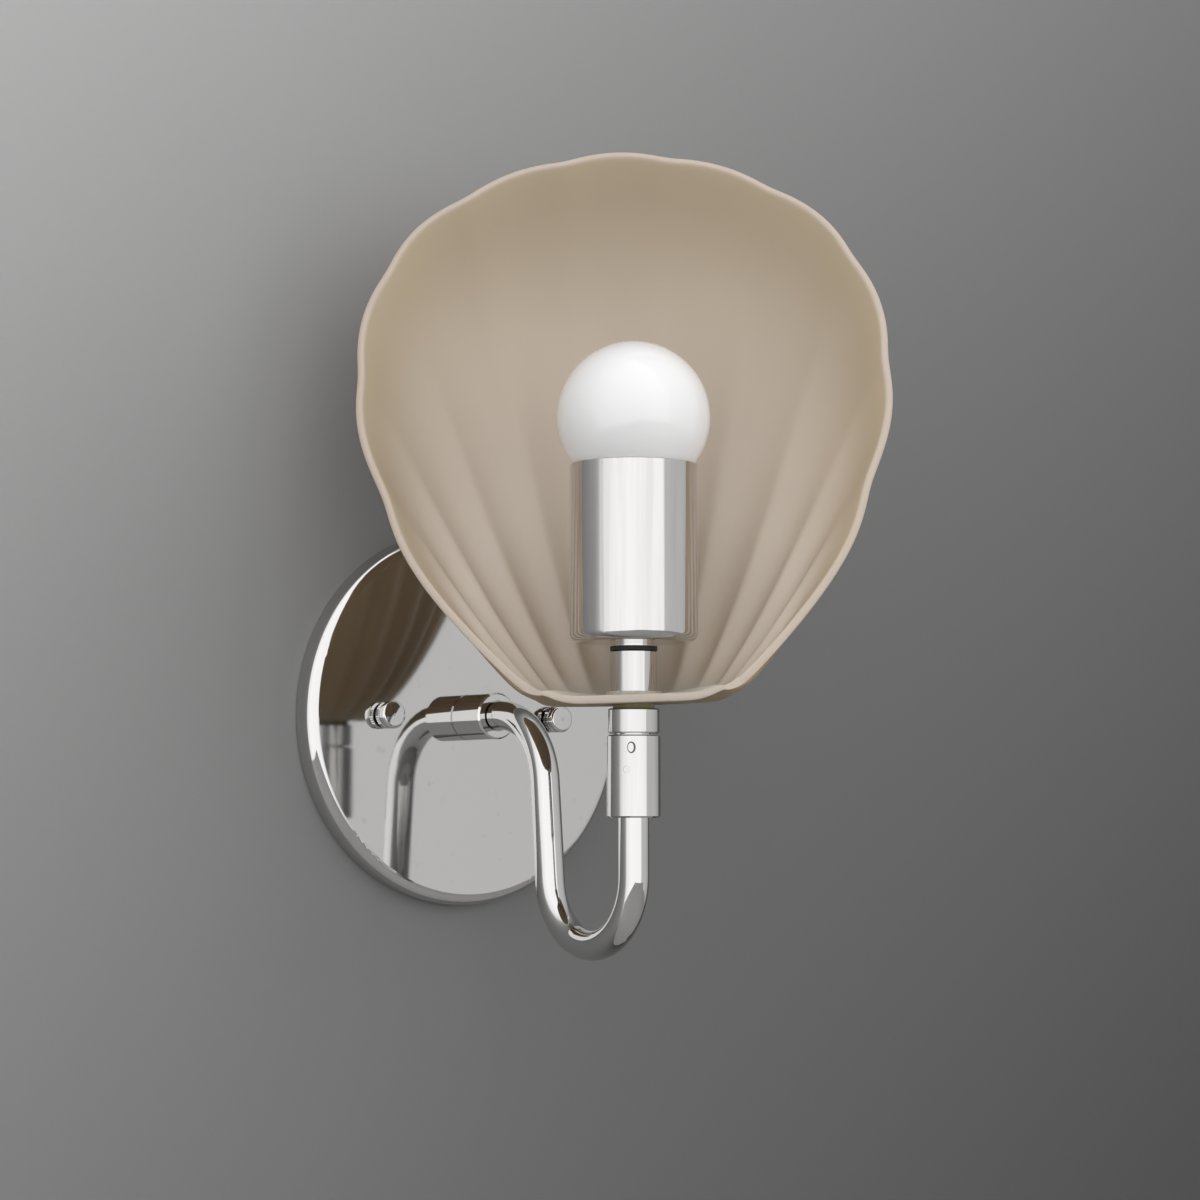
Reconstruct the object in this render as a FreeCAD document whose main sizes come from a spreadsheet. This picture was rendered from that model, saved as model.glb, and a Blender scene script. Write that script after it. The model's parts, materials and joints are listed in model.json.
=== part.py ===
"""Shell wall sconce: a fluted glass shell and a globe bulb on a swivelling head, carried by a bent tube
arm on a round wall canopy.  Row frame: +Z up, the wall is the plane y = 0, the front faces -Y and the
origin is the middle of the canopy's back plane.  All sizes are millimetres and degrees."""

import FreeCAD
import Part
import Sketcher

import math
import os
import re

from FreeCAD import Placement, Rotation, Vector

# ---------------------------------------------------------------------------------------------------
# Driving sizes
# ---------------------------------------------------------------------------------------------------

SIZES = {
    # wall canopy, a shallow spun pan
    "canopy_diameter": 130.0,
    "canopy_depth": 8.5,
    "canopy_wall": 1.0,
    "canopy_edge_radius": 4.0,
    "stud_diameter": 4.1,
    "stud_clearance": 0.4,
    # crossbar behind the canopy, with raised middle
    "strap_width": 18.0,
    "strap_thickness": 1.6,
    "strap_rise": 1.3,
    "strap_end_land": 3.8,
    "strap_head_room": 0.2,
    "stud_inset": 9.45,
    "strap_slot_spacing": 88.9,
    "strap_slot_length": 7.5,
    "strap_slot_width": 4.6,
    "strap_centre_hole": 14.0,
    "strap_bend_share": 0.4,
    "ground_screw_offset": 16.0,
    "ground_screw_diameter": 3.4,
    "ground_screw_length": 2.6,
    "screw_head_diameter": 7.0,
    "screw_head_height": 1.2,
    "ground_head_diameter": 6.6,
    "ground_head_height": 1.5,
    "screw_end_chamfer": 0.6,
    "ground_head_chamfer": 0.3,
    # knurled cone nuts
    "thumb_nut_diameter": 9.5,
    "thumb_nut_barrel": 4.8,
    "thumb_nut_cone": 3.8,
    "thumb_nut_tip": 2.4,
    "thumb_nut_collar": 1.2,
    "thumb_nut_collar_diameter": 6.6,
    "thumb_nut_bore_end_wall": 3.0,
    "thumb_nut_bore_cone": 1.0,
    "thumb_nut_gap": 0.3,
    "knurl_count": 18.0,
    "knurl_width": 0.9,
    "knurl_depth": 0.45,
    "cutter_overrun": 1.0,
    "stud_engagement": 4.6,
    # threaded tubes
    "nipple_diameter": 9.7,
    "nipple_bore": 7.0,
    "fit_clearance": 0.05,
    "arm_nipple_engagement": 6.0,
    "nut_across_flats": 14.0,
    "nut_thickness": 2.6,
    "lock_washer_diameter": 16.0,
    "lock_washer_thickness": 0.8,
    "lock_washer_teeth": 12.0,
    "lock_washer_tooth_depth": 1.6,
    "lock_washer_notch_spread": 0.8,
    "nipple_end_proud": 0.5,
    "nipple_chamfer": 0.5,
    "nipple_end_room": 0.5,
    "nut_chamfer_share": 0.98,
    "nut_chamfer_slope": 0.5,
    # canopy collar and arm
    "collar_diameter": 16.0,
    "collar_length": 16.7,
    "collar_chamfer": 0.6,
    "arm_mouth_diameter": 10.8,
    "arm_mouth_depth": 1.5,
    "arm_diameter": 10.0,
    "arm_bore": 7.6,
    "arm_upper_radius": 25.0,
    "arm_lower_radius": 23.0,
    "arm_reach": 102.0,
    "arm_drop": 80.0,
    "arm_lean_deg": 4.8,
    # swivel
    "swivel_body_diameter": 17.4,
    "swivel_body_length": 26.5,
    "swivel_head_diameter": 16.8,
    "swivel_head_height": 8.0,
    "swivel_gap": 0.4,
    "swivel_chamfer": 0.5,
    "swivel_cavity_diameter": 13.4,
    "swivel_cavity_depth": 13.0,
    "swivel_mouth_diameter": 11.0,
    "swivel_mouth_depth": 2.0,
    "swivel_arm_socket": 9.0,
    "spindle_clearance": 0.08,
    "spindle_bore": 7.0,
    "spindle_length": 11.0,
    "spindle_groove_depth": 0.9,
    "spindle_groove_play": 0.1,
    "friction_washer_thickness": 0.8,
    "washer_play": 0.1,
    "ledge_gap": 0.3,
    "cavity_clearance": 0.3,
    "retaining_ring_thickness": 1.0,
    "retaining_ring_opening_deg": 50.0,
    "stake_diameter": 2.6,
    "stake_depth": 0.7,
    "stake_height": 15.3,
    "stake_turn_deg": -52.0,
    "head_turn_deg": -37.5,
    # stack on the threaded tube above the swivel
    "lower_washer_diameter": 13.3,
    "lower_washer_thickness": 1.4,
    "upper_washer_diameter": 18.0,
    "upper_washer_thickness": 1.2,
    "spacer_diameter": 14.9,
    "spacer_length": 13.2,
    "spacer_chamfer": 0.4,
    "cup_washer_diameter": 15.2,
    "cup_washer_thickness": 1.4,
    "cup_bush_diameter": 12.4,
    "cup_bush_height": 1.3,
    "shade_nipple_engagement": 6.5,
    # glass shell, which leans a little on its soft washers
    "glass_lean_deg": 1.8,
    "glass_thickness": 2.8,
    "floor_half_width": 27.0,
    "floor_depth": 26.0,
    "floor_lip_reach": 13.0,
    "floor_hole_clearance": 0.4,
    "crown_radius": 88.5,
    "crown_height": 98.6,
    "flank_radius": 240.0,
    "flank_foot_half_width": 34.8,
    "flank_foot_height": 6.6,
    "rim_top_depth": 28.0,
    "rim_rise_power": 0.7,
    "wall_foot_tilt_deg": 60.0,
    "rim_curl_deg": 50.0,
    "rim_curl_chord": 90.0,
    "wall_foot_fullness": 0.18,
    "wall_rim_fullness": 0.38,
    "flute_count": 11.0,
    "flute_depth": 3.0,
    "flute_fade": 0.45,
    "flute_fade_at": 0.72,
    "flute_fade_reach": 0.2,
    "flute_fan_deg": 126.5,
    # lamp cup and lampholder
    "cup_diameter": 41.3,
    "cup_height": 57.3,
    "cup_wall": 0.8,
    "cup_foot_radius": 3.0,
    "cup_nut_thickness": 3.0,
    "holder_cap_diameter": 30.0,
    "holder_cap_height": 9.0,
    "holder_cap_wall": 2.2,
    "holder_diameter": 36.0,
    "holder_height": 36.0,
    "holder_floor": 5.0,
    "holder_chamfer": 2.0,
    "holder_rib_count": 6.0,
    "holder_rib_width": 3.0,
    "holder_rib_proud": 1.6,
    "shell_thread_diameter": 27.1,
    "shell_wall": 0.5,
    "shell_window_gap": 1.0,
    "shell_length": 22.0,
    "contact_width": 5.0,
    "contact_thickness": 0.5,
    "contact_length": 16.0,
    "contact_rise": 3.0,
    "contact_fold_room": 3.0,
    "contact_pad_length": 2.0,
    # globe bulb
    "bulb_diameter": 49.7,
    "bulb_centre_height": 94.2,
    "bulb_glass_wall": 0.8,
    "bulb_neck_diameter": 26.6,
    "bulb_base_diameter": 26.2,
    "bulb_base_length": 20.0,
    "bulb_base_wall": 0.4,
    "base_thread_depth": 0.8,
    "base_thread_pitch": 3.6,
    "base_thread_start": 0.8,
    "bulb_insulator_height": 4.0,
    "bulb_insulator_diameter": 16.0,
    "insulator_overlap": 1.0,
    "bulb_contact_diameter": 9.0,
    "bulb_contact_height": 1.2,
    "contact_tip_share": 0.6,
    "bulb_seat_gap": 0.3,
}

doc = FreeCAD.newDocument("ShellWallSconce")
sheet = doc.addObject("Spreadsheet::Sheet", "Dims")
for row, (alias, value) in enumerate(SIZES.items(), start=1):
    sheet.set(f"A{row}", alias)
    sheet.set(f"B{row}", str(value))
    sheet.setAlias(f"B{row}", alias)
doc.recompute()


def size(name):
    """A driving size read back from the sheet."""
    return float(getattr(sheet, name))


NAME = re.compile(r"[a-z][a-z_0-9]*[a-z0-9]")


def bound(text):
    """The same expression with every size's name pointing at the sheet."""
    return NAME.sub(lambda m: f"Dims.{m.group(0)}" if m.group(0) in SIZES else m.group(0), text)


# ---------------------------------------------------------------------------------------------------
# Shared places, as expressions of the driving sizes
# ---------------------------------------------------------------------------------------------------

# distances across the crossbar
STUD = "(strap_slot_spacing / 2 - stud_inset)"
STRAP_END = "(strap_slot_spacing / 2 + strap_slot_length / 2 + strap_end_land)"
STRAP_JOGGLE = f"({STUD} + screw_head_diameter / 2 + strap_head_room + strap_rise)"

# distances out from the wall
CANOPY_INNER = "(canopy_depth - canopy_wall)"
NIPPLE_BACK = f"({CANOPY_INNER} - lock_washer_thickness - nut_thickness - nipple_end_proud)"

# heights on the swivel's axis
BODY_BOTTOM = "(-swivel_head_height - swivel_gap - swivel_body_length)"
BODY_TOP = "(-swivel_head_height - swivel_gap)"
FRICTION_WASHER_TOP = f"({BODY_TOP} - swivel_mouth_depth - ledge_gap)"
RETAINING_RING_TOP = f"({FRICTION_WASHER_TOP} - friction_washer_thickness)"
RETAINING_RING_BOTTOM = f"({RETAINING_RING_TOP} - retaining_ring_thickness)"
SPINDLE_BOTTOM = f"({BODY_TOP} - spindle_length)"
GLASS_BOTTOM = "lower_washer_thickness"
GLASS_TOP = "(lower_washer_thickness + glass_thickness)"
SPACER_BOTTOM = f"({GLASS_TOP} + upper_washer_thickness)"
SPACER_TOP = f"({SPACER_BOTTOM} + spacer_length)"
CUP_BUSH_BOTTOM = f"({SPACER_TOP} + cup_washer_thickness)"
CUP_BOTTOM = f"({CUP_BUSH_BOTTOM} + cup_bush_height)"
CUP_FLOOR = f"({CUP_BOTTOM} + cup_wall)"
HOLDER_CAP_BOTTOM = f"({CUP_FLOOR} + cup_nut_thickness)"
HOLDER_BOTTOM = f"({HOLDER_CAP_BOTTOM} + holder_cap_height)"
HOLDER_FLOOR = f"({HOLDER_BOTTOM} + holder_floor)"
BULB_TIP = f"({HOLDER_FLOOR} + contact_thickness + contact_rise + bulb_seat_gap)"
BULB_BASE_BOTTOM = f"({BULB_TIP} + bulb_contact_height + bulb_insulator_height)"
BULB_BASE_TOP = f"({BULB_BASE_BOTTOM} + bulb_base_length)"

# diameters that follow from others
NIPPLE_FIT = "(nipple_diameter + 2 * fit_clearance)"
SPINDLE = "(swivel_mouth_diameter - 2 * spindle_clearance)"
CAVITY_FIT = "(swivel_cavity_diameter - 2 * cavity_clearance)"


# ---------------------------------------------------------------------------------------------------
# Helpers
# ---------------------------------------------------------------------------------------------------

def new_body(label):
    """An empty body that carries one sub-part."""
    body = doc.addObject("PartDesign::Body", label)
    body.Label = label
    return body


def origin_item(body, role):
    """One of the body's own origin planes or axes."""
    return next(item for item in body.Origin.OriginFeatures if item.Role == role)


def stand_on_front_axis(piece, height, turn="0"):
    """Puts a piece that is built along Z on the swivel's axis."""
    piece.Placement = Placement(Vector(0, 0, 0), Rotation(Vector(0, 0, 1), 1.0))
    piece.setExpression("Placement.Base.y", bound("-arm_reach"))
    piece.setExpression("Placement.Base.z", bound(height))
    piece.setExpression("Placement.Rotation.Angle", bound(turn))
    return piece


def point_out_from_wall(piece, out, across="0"):
    """Puts a piece that is built along Z so that its Z points out from the wall."""
    piece.Placement = Placement(Vector(0, 0, 0), Rotation(Vector(1, 0, 0), 90.0))
    piece.setExpression("Placement.Base.x", bound(across))
    piece.setExpression("Placement.Base.y", bound(f"-({out})"))
    return piece


def outline_sketch(body, name, plane, points, offset=None):
    """A closed outline of straight lines, each corner held at two expressions (across, up)."""
    sketch = body.newObject("Sketcher::SketchObject", name)
    sketch.AttachmentSupport = (origin_item(body, plane), [""])
    sketch.MapMode = "FlatFace"
    if offset is not None:
        sketch.setExpression("AttachmentOffset.Base.z", bound(offset))
    count = len(points)
    start = [
        Vector(20 + 10 * math.cos(2 * math.pi * i / count), 20 + 10 * math.sin(2 * math.pi * i / count), 0)
        for i in range(count)
    ]
    for i in range(count):
        sketch.addGeometry(Part.LineSegment(start[i], start[(i + 1) % count]), False)
    for i in range(count):
        sketch.addConstraint(Sketcher.Constraint("Coincident", i, 2, (i + 1) % count, 1))
    for i, (across, up) in enumerate(points):
        for kind, text, axis, value in (("DistanceX", across, -2, start[i].x), ("DistanceY", up, -1, start[i].y)):
            if text == "0":
                sketch.addConstraint(Sketcher.Constraint("PointOnObject", i, 1, axis))
                continue
            index = sketch.addConstraint(Sketcher.Constraint(kind, -1, 1, i, 1, value))
            sketch.setExpression(f"Constraints[{index}]", bound(text))
    return sketch


def circle_sketch(body, name, plane, circles, offset=None):
    """Circles given as (across, up, diameter) expressions."""
    sketch = body.newObject("Sketcher::SketchObject", name)
    sketch.AttachmentSupport = (origin_item(body, plane), [""])
    sketch.MapMode = "FlatFace"
    if offset is not None:
        sketch.setExpression("AttachmentOffset.Base.z", bound(offset))
    for i, (across, up, diameter) in enumerate(circles):
        sketch.addGeometry(Part.Circle(Vector(10 + 5 * i, 10, 0), Vector(0, 0, 1), 2), False)
        index = sketch.addConstraint(Sketcher.Constraint("Diameter", i, 4.0))
        sketch.setExpression(f"Constraints[{index}]", bound(diameter))
        for kind, text, axis, value in (("DistanceX", across, -2, 10 + 5 * i), ("DistanceY", up, -1, 10)):
            if text == "0":
                sketch.addConstraint(Sketcher.Constraint("PointOnObject", i, 3, axis))
                continue
            index = sketch.addConstraint(Sketcher.Constraint(kind, -1, 1, i, 3, value))
            sketch.setExpression(f"Constraints[{index}]", bound(text))
    return sketch


def revolve(body, name, points, feature="PartDesign::Revolution"):
    """Turns an outline in the XZ plane round the body's Z axis."""
    sketch = outline_sketch(body, f"{name}_outline", "XZ_Plane", points)
    turned = body.newObject(feature, name)
    turned.Profile = sketch
    turned.ReferenceAxis = (sketch, ["V_Axis"])
    turned.Angle = 360.0
    body.Tip = turned
    return turned


def turned_piece(label, points):
    """A body that is one turned outline."""
    body = new_body(label)
    revolve(body, f"{label}_turning", points)
    return body


def ring_points(inner, outer, height, foot="0"):
    """The outline of a plain ring or tube: radii and heights as expressions."""
    return [(inner, foot), (outer, foot), (outer, height), (inner, height)]


def pad(body, sketch, name, length, midplane=False):
    """Raises a sketch by an expression."""
    raised = body.newObject("PartDesign::Pad", name)
    raised.Profile = sketch
    raised.setExpression("Length", bound(length))
    raised.Midplane = midplane
    body.Tip = raised
    return raised


def pocket_through(body, sketch, name):
    """Cuts a sketch right through the body both ways, and makes sure that something was cut."""
    doc.recompute()
    before = body.Shape.Volume
    cut = body.newObject("PartDesign::Pocket", name)
    cut.Profile = sketch
    cut.Type = "ThroughAll"
    cut.Midplane = True
    body.Tip = cut
    doc.recompute()
    if body.Shape.Volume >= before - 1e-6:
        raise RuntimeError(f"{name} cuts nothing")
    return cut


def repeat_round(body, feature, name, count):
    """A polar pattern of one feature about the body's Z axis."""
    pattern = body.newObject("PartDesign::PolarPattern", name)
    pattern.Originals = [feature]
    pattern.Axis = (origin_item(body, "Z_Axis"), [""])
    pattern.Angle = 360.0
    pattern.setExpression("Occurrences", bound(count))
    body.Tip = pattern
    return pattern


def round_edges(body, name, radius, chosen):
    """Fillets the edges of the body that the test picks."""
    doc.recompute()
    base = body.Tip
    edges = [f"Edge{i}" for i, edge in enumerate(base.Shape.Edges, start=1) if chosen(edge)]
    if not edges:
        raise RuntimeError(f"{name} finds no edge")
    fillet = body.newObject("PartDesign::Fillet", name)
    fillet.Base = (base, edges)
    fillet.setExpression("Radius", bound(radius))
    body.Tip = fillet
    return fillet


def level_ring(radius, height):
    """A test for the circular edge of one radius at one height on the body's Z axis."""
    def chosen(edge):
        curve = edge.Curve
        if curve.TypeId != "Part::GeomCircle":
            return False
        return abs(curve.Radius - radius) < 1e-4 and abs(edge.CenterOfMass.z - height) < 1e-4
    return chosen


# ---------------------------------------------------------------------------------------------------
# Wall side
# ---------------------------------------------------------------------------------------------------

def make_canopy():
    """The round pan: rounded front edge, hollow back, a centre hole and two stud holes."""
    body = turned_piece("canopy", [
        (f"{NIPPLE_FIT} / 2", CANOPY_INNER),
        ("canopy_diameter / 2 - canopy_wall", CANOPY_INNER),
        ("canopy_diameter / 2 - canopy_wall", "0"),
        ("canopy_diameter / 2", "0"),
        ("canopy_diameter / 2", "canopy_depth"),
        (f"{NIPPLE_FIT} / 2", "canopy_depth"),
    ])
    outer = size("canopy_diameter") / 2
    depth = size("canopy_depth")
    wall = size("canopy_wall")
    round_edges(body, "canopy_front_edge", "canopy_edge_radius", level_ring(outer, depth))
    round_edges(body, "canopy_inside_edge", "canopy_edge_radius - canopy_wall",
                level_ring(outer - wall, depth - wall))
    hole = "stud_diameter + 2 * stud_clearance"
    holes = circle_sketch(body, "canopy_stud_holes", "XY_Plane",
                          [(STUD, "0", hole), (f"-{STUD}", "0", hole)])
    pocket_through(body, holes, "canopy_stud_bores")
    return point_out_from_wall(body, "0")


def make_mounting_strap():
    """The crossbar: end pads on the wall, a raised middle, slots for the box and tapped stud holes."""
    body = new_body("mounting_strap")
    bend = "strap_thickness * strap_bend_share"
    shoulder = f"{STRAP_JOGGLE} - strap_rise"
    raised = "strap_rise + strap_thickness"
    outline = [
        (f"-{STRAP_END}", "0"),
        (f"-{STRAP_JOGGLE}", "0"),
        (f"-({shoulder})", "strap_rise"),
        (shoulder, "strap_rise"),
        (STRAP_JOGGLE, "0"),
        (STRAP_END, "0"),
        (STRAP_END, "strap_thickness"),
        (f"{STRAP_JOGGLE} + {bend}", "strap_thickness"),
        (f"{shoulder} + {bend}", raised),
        (f"-({shoulder} + {bend})", raised),
        (f"-({STRAP_JOGGLE} + {bend})", "strap_thickness"),
        (f"-{STRAP_END}", "strap_thickness"),
    ]
    profile = outline_sketch(body, "strap_profile", "XZ_Plane", outline)
    pad(body, profile, "strap_bar", "strap_width", midplane=True)
    stud = "stud_diameter + 2 * fit_clearance"
    ground = "ground_screw_diameter + 2 * fit_clearance"
    holes = circle_sketch(body, "strap_holes", "XY_Plane", [
        ("0", "0", "strap_centre_hole"),
        (STUD, "0", stud),
        (f"-{STUD}", "0", stud),
        ("ground_screw_offset", "0", ground),
    ])
    pocket_through(body, holes, "strap_bores")
    for side, label in ((1, "right"), (-1, "left")):
        slot = slot_sketch(body, f"strap_slot_{label}", side)
        pocket_through(body, slot, f"strap_slot_cut_{label}")
    return point_out_from_wall(body, "0")


def slot_sketch(body, name, side):
    """A round-ended slot, long way across, on one end of the crossbar."""
    sketch = body.newObject("Sketcher::SketchObject", name)
    sketch.AttachmentSupport = (origin_item(body, "XY_Plane"), [""])
    sketch.MapMode = "FlatFace"
    middle = side * size("strap_slot_spacing") / 2
    radius = size("strap_slot_width") / 2
    half = size("strap_slot_length") / 2 - radius
    low = Vector(middle - half, -radius, 0)
    high = Vector(middle + half, radius, 0)
    sketch.addGeometry(Part.LineSegment(low, Vector(high.x, -radius, 0)), False)
    sketch.addGeometry(Part.ArcOfCircle(
        Part.Circle(Vector(high.x, 0, 0), Vector(0, 0, 1), radius), -math.pi / 2, math.pi / 2), False)
    sketch.addGeometry(Part.LineSegment(high, Vector(low.x, radius, 0)), False)
    sketch.addGeometry(Part.ArcOfCircle(
        Part.Circle(Vector(low.x, 0, 0), Vector(0, 0, 1), radius), math.pi / 2, 3 * math.pi / 2), False)
    for first, second, ends in ((0, 1, (2, 1)), (1, 2, (2, 1)), (2, 3, (2, 1)), (3, 0, (2, 1))):
        sketch.addConstraint(Sketcher.Constraint("Tangent", first, ends[0], second, ends[1]))
    sketch.addConstraint(Sketcher.Constraint("PointOnObject", 1, 3, -1))
    sketch.addConstraint(Sketcher.Constraint("PointOnObject", 3, 3, -1))
    radius_index = sketch.addConstraint(Sketcher.Constraint("Radius", 1, radius))
    sketch.setExpression(f"Constraints[{radius_index}]", bound("strap_slot_width / 2"))
    sign = "" if side > 0 else "-"
    reach = "(strap_slot_length - strap_slot_width) / 2"
    for arc, way, at in ((1, "+", high.x), (3, "-", low.x)):
        index = sketch.addConstraint(Sketcher.Constraint("DistanceX", -1, 1, arc, 3, at))
        sketch.setExpression(f"Constraints[{index}]", bound(f"{sign}strap_slot_spacing / 2 {way} {reach}"))
    return sketch


def make_canopy_screws():
    """Two screws from behind the crossbar, their ends inside the thumb nuts."""
    tip = "canopy_depth + thumb_nut_gap + stud_engagement"
    back = "strap_rise - screw_head_height"
    screws = []
    for side, label in (("-", "left"), ("", "right")):
        body = turned_piece(f"canopy_screw_{label}", [
            ("0", "0"),
            ("screw_head_diameter / 2", "0"),
            ("screw_head_diameter / 2", "screw_head_height"),
            ("stud_diameter / 2", "screw_head_height"),
            ("stud_diameter / 2", f"{tip} - ({back}) - screw_end_chamfer"),
            ("stud_diameter / 2 - screw_end_chamfer", f"{tip} - ({back})"),
            ("0", f"{tip} - ({back})"),
        ])
        screws.append(point_out_from_wall(body, back, f"{side}{STUD}"))
    group = doc.addObject("Part::Compound", "canopy_screws")
    group.Label = "canopy_screws"
    group.Links = screws
    return group


def make_ground_screw():
    """The small earth screw in the crossbar."""
    foot = "strap_rise + strap_thickness - ground_screw_length"
    body = turned_piece("ground_screw", [
        ("0", "0"),
        ("ground_screw_diameter / 2", "0"),
        ("ground_screw_diameter / 2", "ground_screw_length"),
        ("ground_head_diameter / 2", "ground_screw_length"),
        ("ground_head_diameter / 2 - ground_head_chamfer", "ground_screw_length + ground_head_height"),
        ("0", "ground_screw_length + ground_head_height"),
    ])
    return point_out_from_wall(body, foot, "ground_screw_offset")


def make_thumb_nut(label, side):
    """A knurled nut with a shoulder at the canopy and a cone at its free end."""
    bore = "stud_diameter / 2 + fit_clearance"
    length = "thumb_nut_collar + thumb_nut_barrel + thumb_nut_cone"
    body = turned_piece(label, [
        (bore, "0"),
        ("thumb_nut_collar_diameter / 2", "0"),
        ("thumb_nut_collar_diameter / 2", "thumb_nut_collar"),
        ("thumb_nut_diameter / 2", "thumb_nut_collar"),
        ("thumb_nut_diameter / 2", "thumb_nut_collar + thumb_nut_barrel"),
        ("thumb_nut_tip / 2", length),
        ("0", length),
        ("0", f"{length} - thumb_nut_bore_end_wall"),
        (bore, f"{length} - thumb_nut_bore_end_wall - thumb_nut_bore_cone"),
    ])
    groove = outline_sketch(body, f"{label}_knurl", "XY_Plane", [
        ("thumb_nut_diameter / 2 - knurl_depth", "0"),
        ("thumb_nut_diameter / 2 + cutter_overrun", "-knurl_width"),
        ("thumb_nut_diameter / 2 + cutter_overrun", "knurl_width"),
    ], offset="thumb_nut_collar")
    doc.recompute()
    before = body.Shape.Volume
    cut = body.newObject("PartDesign::Pocket", f"{label}_knurl_cut")
    cut.Profile = groove
    cut.setExpression("Length", bound("thumb_nut_barrel + thumb_nut_cone"))
    cut.Reversed = True
    body.Tip = cut
    doc.recompute()
    if body.Shape.Volume >= before - 1e-6:
        raise RuntimeError("the knurl cuts nothing")
    repeat_round(body, cut, f"{label}_knurls", "knurl_count")
    return point_out_from_wall(body, "canopy_depth + thumb_nut_gap", f"{side}{STUD}")


def threaded_tube(label, length):
    """A plain-walled stand-in for threaded tube, with the ends broken."""
    outer = "nipple_diameter / 2"
    return turned_piece(label, [
        ("nipple_bore / 2", "0"),
        (f"{outer} - nipple_chamfer", "0"),
        (outer, "nipple_chamfer"),
        (outer, f"{length} - nipple_chamfer"),
        (f"{outer} - nipple_chamfer", length),
        ("nipple_bore / 2", length),
    ])


def make_arm_nipple():
    """The threaded tube that holds the collar to the canopy."""
    length = f"canopy_depth + arm_nipple_engagement - {NIPPLE_BACK}"
    return point_out_from_wall(threaded_tube("arm_nipple", length), NIPPLE_BACK)


def hexagon_piece(label, thickness):
    """A hexagon nut with a clear bore and chamfered corners."""
    body = new_body(label)
    half = "nut_across_flats / 2"
    point = "nut_across_flats / 2 / cos(30)"
    flat = f"{half} * nut_chamfer_share"
    beyond = f"{point} + cutter_overrun"
    profile = outline_sketch(body, f"{label}_hexagon", "XY_Plane", [
        (point, "0"),
        (f"{point} / 2", half),
        (f"-{point} / 2", half),
        (f"-{point}", "0"),
        (f"-{point} / 2", f"-{half}"),
        (f"{point} / 2", f"-{half}"),
    ])
    pad(body, profile, f"{label}_block", thickness)
    bore = circle_sketch(body, f"{label}_bore_circle", "XY_Plane", [("0", "0", NIPPLE_FIT)])
    pocket_through(body, bore, f"{label}_bore")
    revolve(body, f"{label}_corner_chamfer", [
        (flat, thickness),
        (beyond, thickness),
        (beyond, f"{thickness} - ({beyond} - {flat}) * nut_chamfer_slope"),
    ], feature="PartDesign::Groove")
    return body


def make_nipple_lock_washer():
    """An external tooth washer between the canopy and its nut."""
    body = turned_piece("nipple_lock_washer", ring_points(
        f"{NIPPLE_FIT} / 2", "lock_washer_diameter / 2", "lock_washer_thickness"))
    notch = outline_sketch(body, "lock_washer_notch", "XY_Plane", [
        ("lock_washer_diameter / 2 - lock_washer_tooth_depth", "0"),
        ("lock_washer_diameter / 2 + cutter_overrun", "-lock_washer_tooth_depth * lock_washer_notch_spread"),
        ("lock_washer_diameter / 2 + cutter_overrun", "lock_washer_tooth_depth * lock_washer_notch_spread"),
    ])
    cut = pocket_through(body, notch, "lock_washer_notch_cut")
    repeat_round(body, cut, "lock_washer_notches", "lock_washer_teeth")
    return point_out_from_wall(body, f"{CANOPY_INNER} - lock_washer_thickness")


def make_canopy_collar():
    """The round coupling that joins the arm's end to the nipple at the canopy's face."""
    edge = "collar_diameter / 2"
    seat = "arm_nipple_engagement + nipple_end_room"
    mouth = "collar_length - arm_mouth_depth"
    arm = "arm_diameter / 2 + fit_clearance"
    body = turned_piece("canopy_collar", [
        (f"{NIPPLE_FIT} / 2", "0"),
        (f"{edge} - collar_chamfer", "0"),
        (edge, "collar_chamfer"),
        (edge, "collar_length - collar_chamfer"),
        (f"{edge} - collar_chamfer", "collar_length"),
        ("arm_mouth_diameter / 2", "collar_length"),
        ("arm_mouth_diameter / 2", mouth),
        (arm, mouth),
        (arm, seat),
        (f"{NIPPLE_FIT} / 2", seat),
    ])
    return point_out_from_wall(body, "canopy_depth")


# ---------------------------------------------------------------------------------------------------
# Arm
# ---------------------------------------------------------------------------------------------------

def arm_route():
    """The arm's corner points in its own plane, as (out from the wall, up), from the driving sizes."""
    lean = math.radians(size("arm_lean_deg"))
    upper = size("arm_upper_radius")
    lower = size("arm_lower_radius")
    bend_height = lower - size("arm_drop")
    leg_foot = (size("arm_reach") - lower * (1 + math.cos(lean)), bend_height - lower * math.sin(lean))
    leg_top_up = -upper * (1 - math.sin(lean))
    leg_top = (leg_foot[0] - math.tan(lean) * (leg_top_up - leg_foot[1]), leg_top_up)
    bend_start = leg_top[0] - upper * math.cos(lean)
    start = size("canopy_depth") + size("arm_nipple_engagement") + size("nipple_end_room")
    end_up = -(size("swivel_head_height") + size("swivel_gap") + size("swivel_body_length"))
    end_up += size("swivel_arm_socket")
    return start, bend_start, leg_top, leg_foot, bend_height, end_up


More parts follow.
